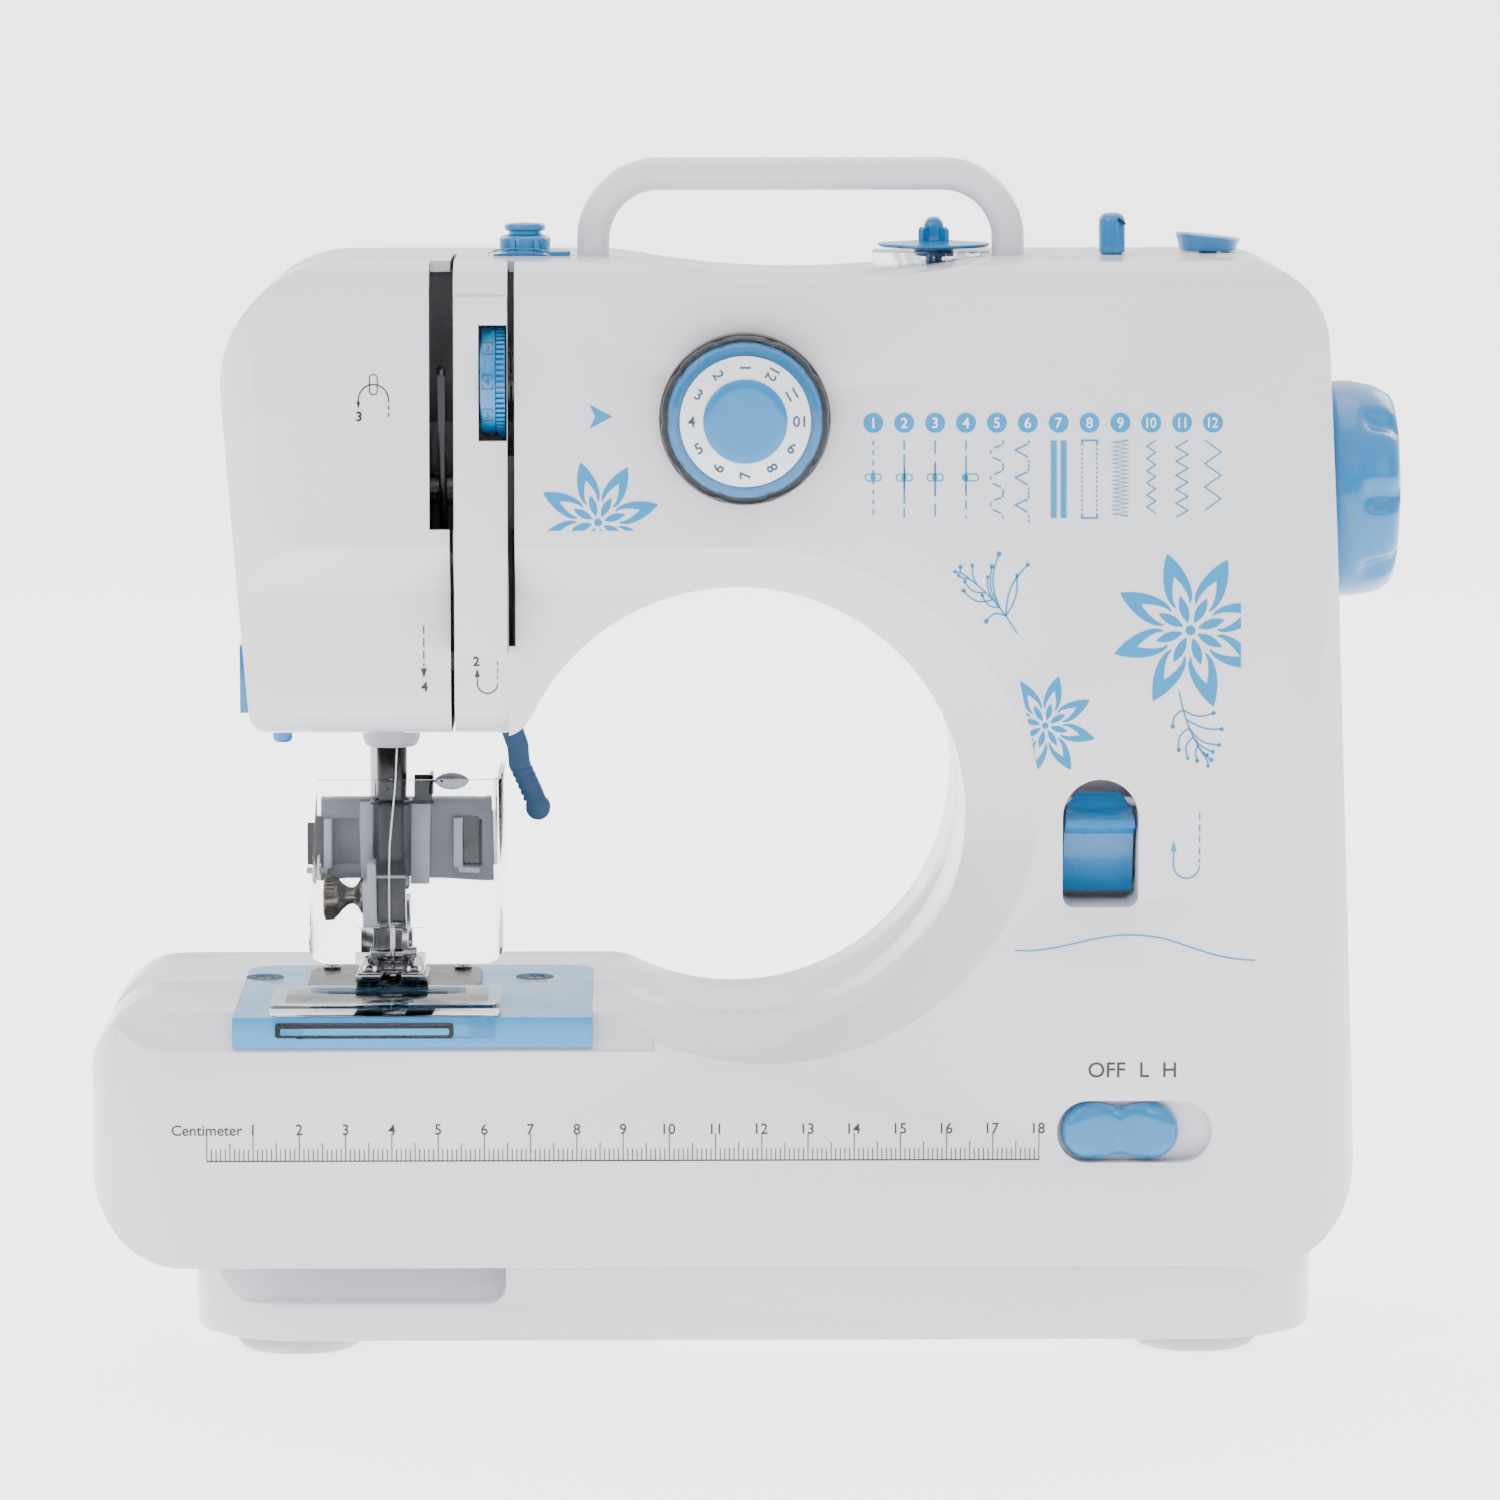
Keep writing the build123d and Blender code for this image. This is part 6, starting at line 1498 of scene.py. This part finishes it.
def threading_marks(bm, head, dial):
    """Arrows and figures that show the path of the thread."""
    line = 0.26
    mx, mz = head.x1 - 16.2, dial.z + 4.0
    arc = [(mx + 3.25 * math.cos(t), mz + 3.3 * math.sin(t)) for t in (math.pi * k / 16 for k in range(17))]
    flat_stroke(bm, [(mx + 3.25, mz - 0.6), *arc, (mx - 3.25, mz - 0.6)], line)
    flat_polygon(bm, [(mx - 3.25, mz - 1.9), (mx - 3.65, mz - 0.4), (mx - 2.85, mz - 0.4)])
    flat_dashes(bm, mx + 3.25, mz - 1.2, mz - 3.8, 0.9, 0.6, line)
    slot_out = [(mx + a, mz + 3.3 + b) for a, b in soft_box(-0.95, 0.95, -2.25, 2.25, 0.9, 6)]
    slot_in = [(mx + a, mz + 3.3 + b) for a, b in soft_box(-0.75, 0.75, -2.05, 2.05, 0.7, 6)]
    flat_band(bm, slot_out, slot_in)
    flat_text(bm, "3", mx - 3.1, mz - 3.5, 2.8, bold=0.08)
    dx, dz = head.x1 - 5.8, head.z0 + 17.5
    flat_dashes(bm, dx, dz + 6.8, dz - 2.0, 1.8, 0.9, line)
    flat_polygon(bm, [(dx, dz - 4.6), (dx - 0.7, dz - 2.4), (dx + 0.7, dz - 2.4)])
    flat_text(bm, "4", dx + 0.1, dz - 6.4, 2.8, bold=0.08)
    ux, uz = head.x1 + 8.0, head.z0 + 13.4
    turn = [(ux - 0.1 + 2.2 * math.cos(t), uz - 1.6 + 2.2 * math.sin(t)) for t in
            (-math.pi * k / 12 for k in range(13))]
    flat_stroke(bm, [*turn, (ux - 2.3, uz)], line)
    flat_polygon(bm, [(ux - 2.3, uz + 1.6), (ux - 2.9, uz - 0.2), (ux - 1.7, uz - 0.2)])
    flat_dashes(bm, ux + 2.1, uz + 3.2, uz - 0.6, 0.9, 0.7, 0.22)
    flat_text(bm, "2", ux - 2.5, uz + 3.2, 2.8, bold=0.08)


def speed_letters(bm, slider):
    """Letters over the speed slider."""
    for text, x in (("OFF", slider.x0 + 9.8), ("L", slider.x0 + 18.0), ("H", slider.x0 + 23.4)):
        flat_text(bm, text, x, slider.z + 13.6, 4.7, bold=0.03)


def centimetre_scale(bm):
    """Scale along the free arm."""
    start, low = Room("deck_plate").x0 - 5.7, Room("base_tray").z1 + 23.6
    for i in range(181):
        tall = 6.0 if i % 10 == 0 else (4.0 if i % 5 == 0 else 2.6)
        flat_stroke(bm, [(start + i, low), (start + i, low + tall)], 0.2)
    flat_stroke(bm, [(start - 0.1, low), (start + 180.1, low)], 0.26)
    for i in range(1, 19):
        flat_text(bm, str(i), start + 10 * i, low + 6.9, 3.3, bold=0.02)
    flat_text(bm, "Centimeter", start + 0.1, low + 6.8, 3.28, bold=0.02)


class SEWING_OT_printed_marks(bpy.types.Operator):
    """Printed flowers, stitch icons, threading marks, speed letters and centimetre scale"""

    bl_idname = "sewing.printed_marks"
    bl_label = "Printed marks"

    def execute(self, context):
        sizes = context.scene.sewing_print
        line = sizes.line / MM
        ink = sizes.ink / MM
        surface = cover_surface()
        dial, pocket = Room("dial_cap"), Room("reverse_lever")
        blue, white, black = bmesh.new(), bmesh.new(), bmesh.new()
        dial_arrow(blue, dial)
        stitch_icons(blue, white, dial, sizes.icon_pitch / MM, line)
        flowers_and_berries(blue, dial, sizes.flower / MM, line)
        reverse_arrow(blue, pocket, line)
        wave_line(blue, pocket)
        stand_film(blue, -ink, FILM_FOOT, surface)
        piece(blue, "print_blue", "ink_blue", "machine", "blue_plastic")
        stand_film(white, -ink - 0.07, 0.0, surface)
        piece(white, "print_white", "ink_white", "machine", "white_plastic")
        threading_marks(black, Room("face_cover"), dial)
        speed_letters(black, Room("speed_slider"))
        centimetre_scale(black)
        stand_film(black, -ink, FILM_FOOT, surface)
        piece(black, "print_black", "ink_black", "machine", "black_plastic")
        return {"FINISHED"}


class SEWING_OT_inner_parts(bpy.types.Operator):
    """Finishes of the shafts, belts, motor and other parts inside"""

    bl_idname = "sewing.inner_parts"
    bl_label = "Inner parts"

    def execute(self, context):
        carried("cast_grey", "main_frame")
        carried("steel", "main_shaft", "lower_shaft", "hook", "presser_spring")
        carried("black_moulding", "shaft_pulleys", "motor_pulley", "battery_box", "tension_unit", "hook_race")
        carried("belt_rubber", "drive_belt", "timing_belt")
        carried("dark_steel", "motor")
        carried("clear_moulding", "bobbin")
        carried("board_green", "circuit_board")
        carried("screw_steel", "battery_contacts")
        carried("black_moulding", "power_jack", "pedal_jack")
        return {"FINISHED"}


class SEWING_OT_stage(bpy.types.Operator):
    """Floor, soft lights and camera"""

    bl_idname = "sewing.stage"
    bl_label = "Stage"

    def execute(self, context):
        look = context.scene.sewing_stage
        bm = bmesh.new()
        bmesh.ops.create_grid(bm, x_segments=1, y_segments=1, size=60)
        mesh = bpy.data.meshes.new("floor")
        bm.to_mesh(mesh)
        bm.free()
        floor = to_object("floor", mesh)
        paper = bpy.data.materials.new("floor_paper")
        paper.use_nodes = True
        tree = paper.node_tree
        coords = tree.nodes.new("ShaderNodeTexCoord")
        tone = span(tree, noise(tree, coords.outputs["Object"], 1.5), 0.3, 0.7, 0.99, 1.0)
        colour = tinted(tree, tuple(look.floor_colour), tone)
        shader = tree.nodes["Principled BSDF"]
        tree.links.new(colour, shader.inputs["Base Color"])
        shader.inputs["Roughness"].default_value = 0.9
        shader.inputs["Specular IOR Level"].default_value = 0.1
        shader.inputs["Emission Color"].default_value = (1, 1, 1, 1)
        shader.inputs["Emission Strength"].default_value = 1.9
        floor.data.materials.append(paper)

        world = bpy.data.worlds.new("studio")
        world.use_nodes = True
        sky = world.node_tree
        paint = sky.nodes["Background"]
        paint.inputs["Color"].default_value = (1.0, 1.0, 1.0, 1)
        coords = sky.nodes.new("ShaderNodeTexCoord")
        parts = sky.nodes.new("ShaderNodeSeparateXYZ")
        sky.links.new(coords.outputs["Generated"], parts.inputs[0])
        # bright overhead and behind, dim in front and at the sides so edges read darker
        wall = span(sky, parts.outputs[1], -0.1, 0.75, look.room_light, look.wall_light)
        roof = span(sky, parts.outputs[2], 0.15, 0.85, 0.0, look.roof_light)
        sky.links.new(maths(sky, "ADD", wall, roof), paint.inputs["Strength"])
        context.scene.world = world
        centre = Vector(LIGHTS_AIM)
        for name, spot, size, power in (
                ("key_left", (-1.1, -1.0, 1.1), 0.9, 9.0),
                ("fill_right", (1.3, -1.1, 0.7), 0.9, 2.5),
                ("front_soft", (0.2, -2.4, 1.5), 1.4, 4.0),
                ("top_soft", (0.0, 0.1, 1.7), 1.3, 8.0),
                ("rear_left", (-1.0, 1.2, 1.0), 0.9, 8.0),
                ("rear_right", (1.0, 1.2, 1.0), 0.9, 8.0)):
            light = bpy.data.lights.new(name, "AREA")
            light.shape = "DISK"
            light.size = size
            light.energy = power
            lamp = bpy.data.objects.new(name, light)
            context.scene.collection.objects.link(lamp)
            lamp.location = spot
            lamp.rotation_euler = (centre - Vector(spot)).to_track_quat("-Z", "Y").to_euler()

        camera = bpy.data.cameras.new("camera")
        camera.lens = look.lens
        camera.sensor_width = 36
        camera.clip_start = 0.05
        camera.clip_end = 200
        eye = bpy.data.objects.new("camera", camera)
        context.scene.collection.objects.link(eye)
        eye.location = EYE
        eye.rotation_euler = (math.radians(90) - look.pitch, 0, -look.yaw)
        context.scene.camera = eye
        return {"FINISHED"}


STEPS = (SEWING_OT_materials, SEWING_OT_covers, SEWING_OT_base, SEWING_OT_bed, SEWING_OT_needle_head,
         SEWING_OT_stitch_dial, SEWING_OT_thread_parts, SEWING_OT_controls, SEWING_OT_handwheel,
         SEWING_OT_top_fittings, SEWING_OT_printed_marks, SEWING_OT_inner_parts, SEWING_OT_stage)


class SEWING_PT_panel(bpy.types.Panel):
    """Buttons for every group of pieces"""

    bl_idname = "SEWING_PT_panel"
    bl_label = "Sewing machine"
    bl_space_type = "VIEW_3D"
    bl_region_type = "UI"
    bl_category = "Sewing machine"

    def draw(self, context):
        for step in STEPS:
            self.layout.operator(step.bl_idname)
        for group in (context.scene.sewing_finish, context.scene.sewing_print, context.scene.sewing_stage):
            for name in group.__annotations__:
                self.layout.prop(group, name)


GROUPS = (BodyFinish, PrintSizes, StageSettings)


def register():
    for item in (*GROUPS, *STEPS, SEWING_PT_panel):
        bpy.utils.register_class(item)
    bpy.types.Scene.sewing_finish = bpy.props.PointerProperty(type=BodyFinish)
    bpy.types.Scene.sewing_print = bpy.props.PointerProperty(type=PrintSizes)
    bpy.types.Scene.sewing_stage = bpy.props.PointerProperty(type=StageSettings)


def unregister():
    del bpy.types.Scene.sewing_finish, bpy.types.Scene.sewing_print, bpy.types.Scene.sewing_stage
    for item in reversed((*GROUPS, *STEPS, SEWING_PT_panel)):
        bpy.utils.unregister_class(item)


def main():
    register()
    for step in STEPS:
        group, name = step.bl_idname.split(".")
        getattr(getattr(bpy.ops, group), name)()


if __name__ == "__main__":
    main()
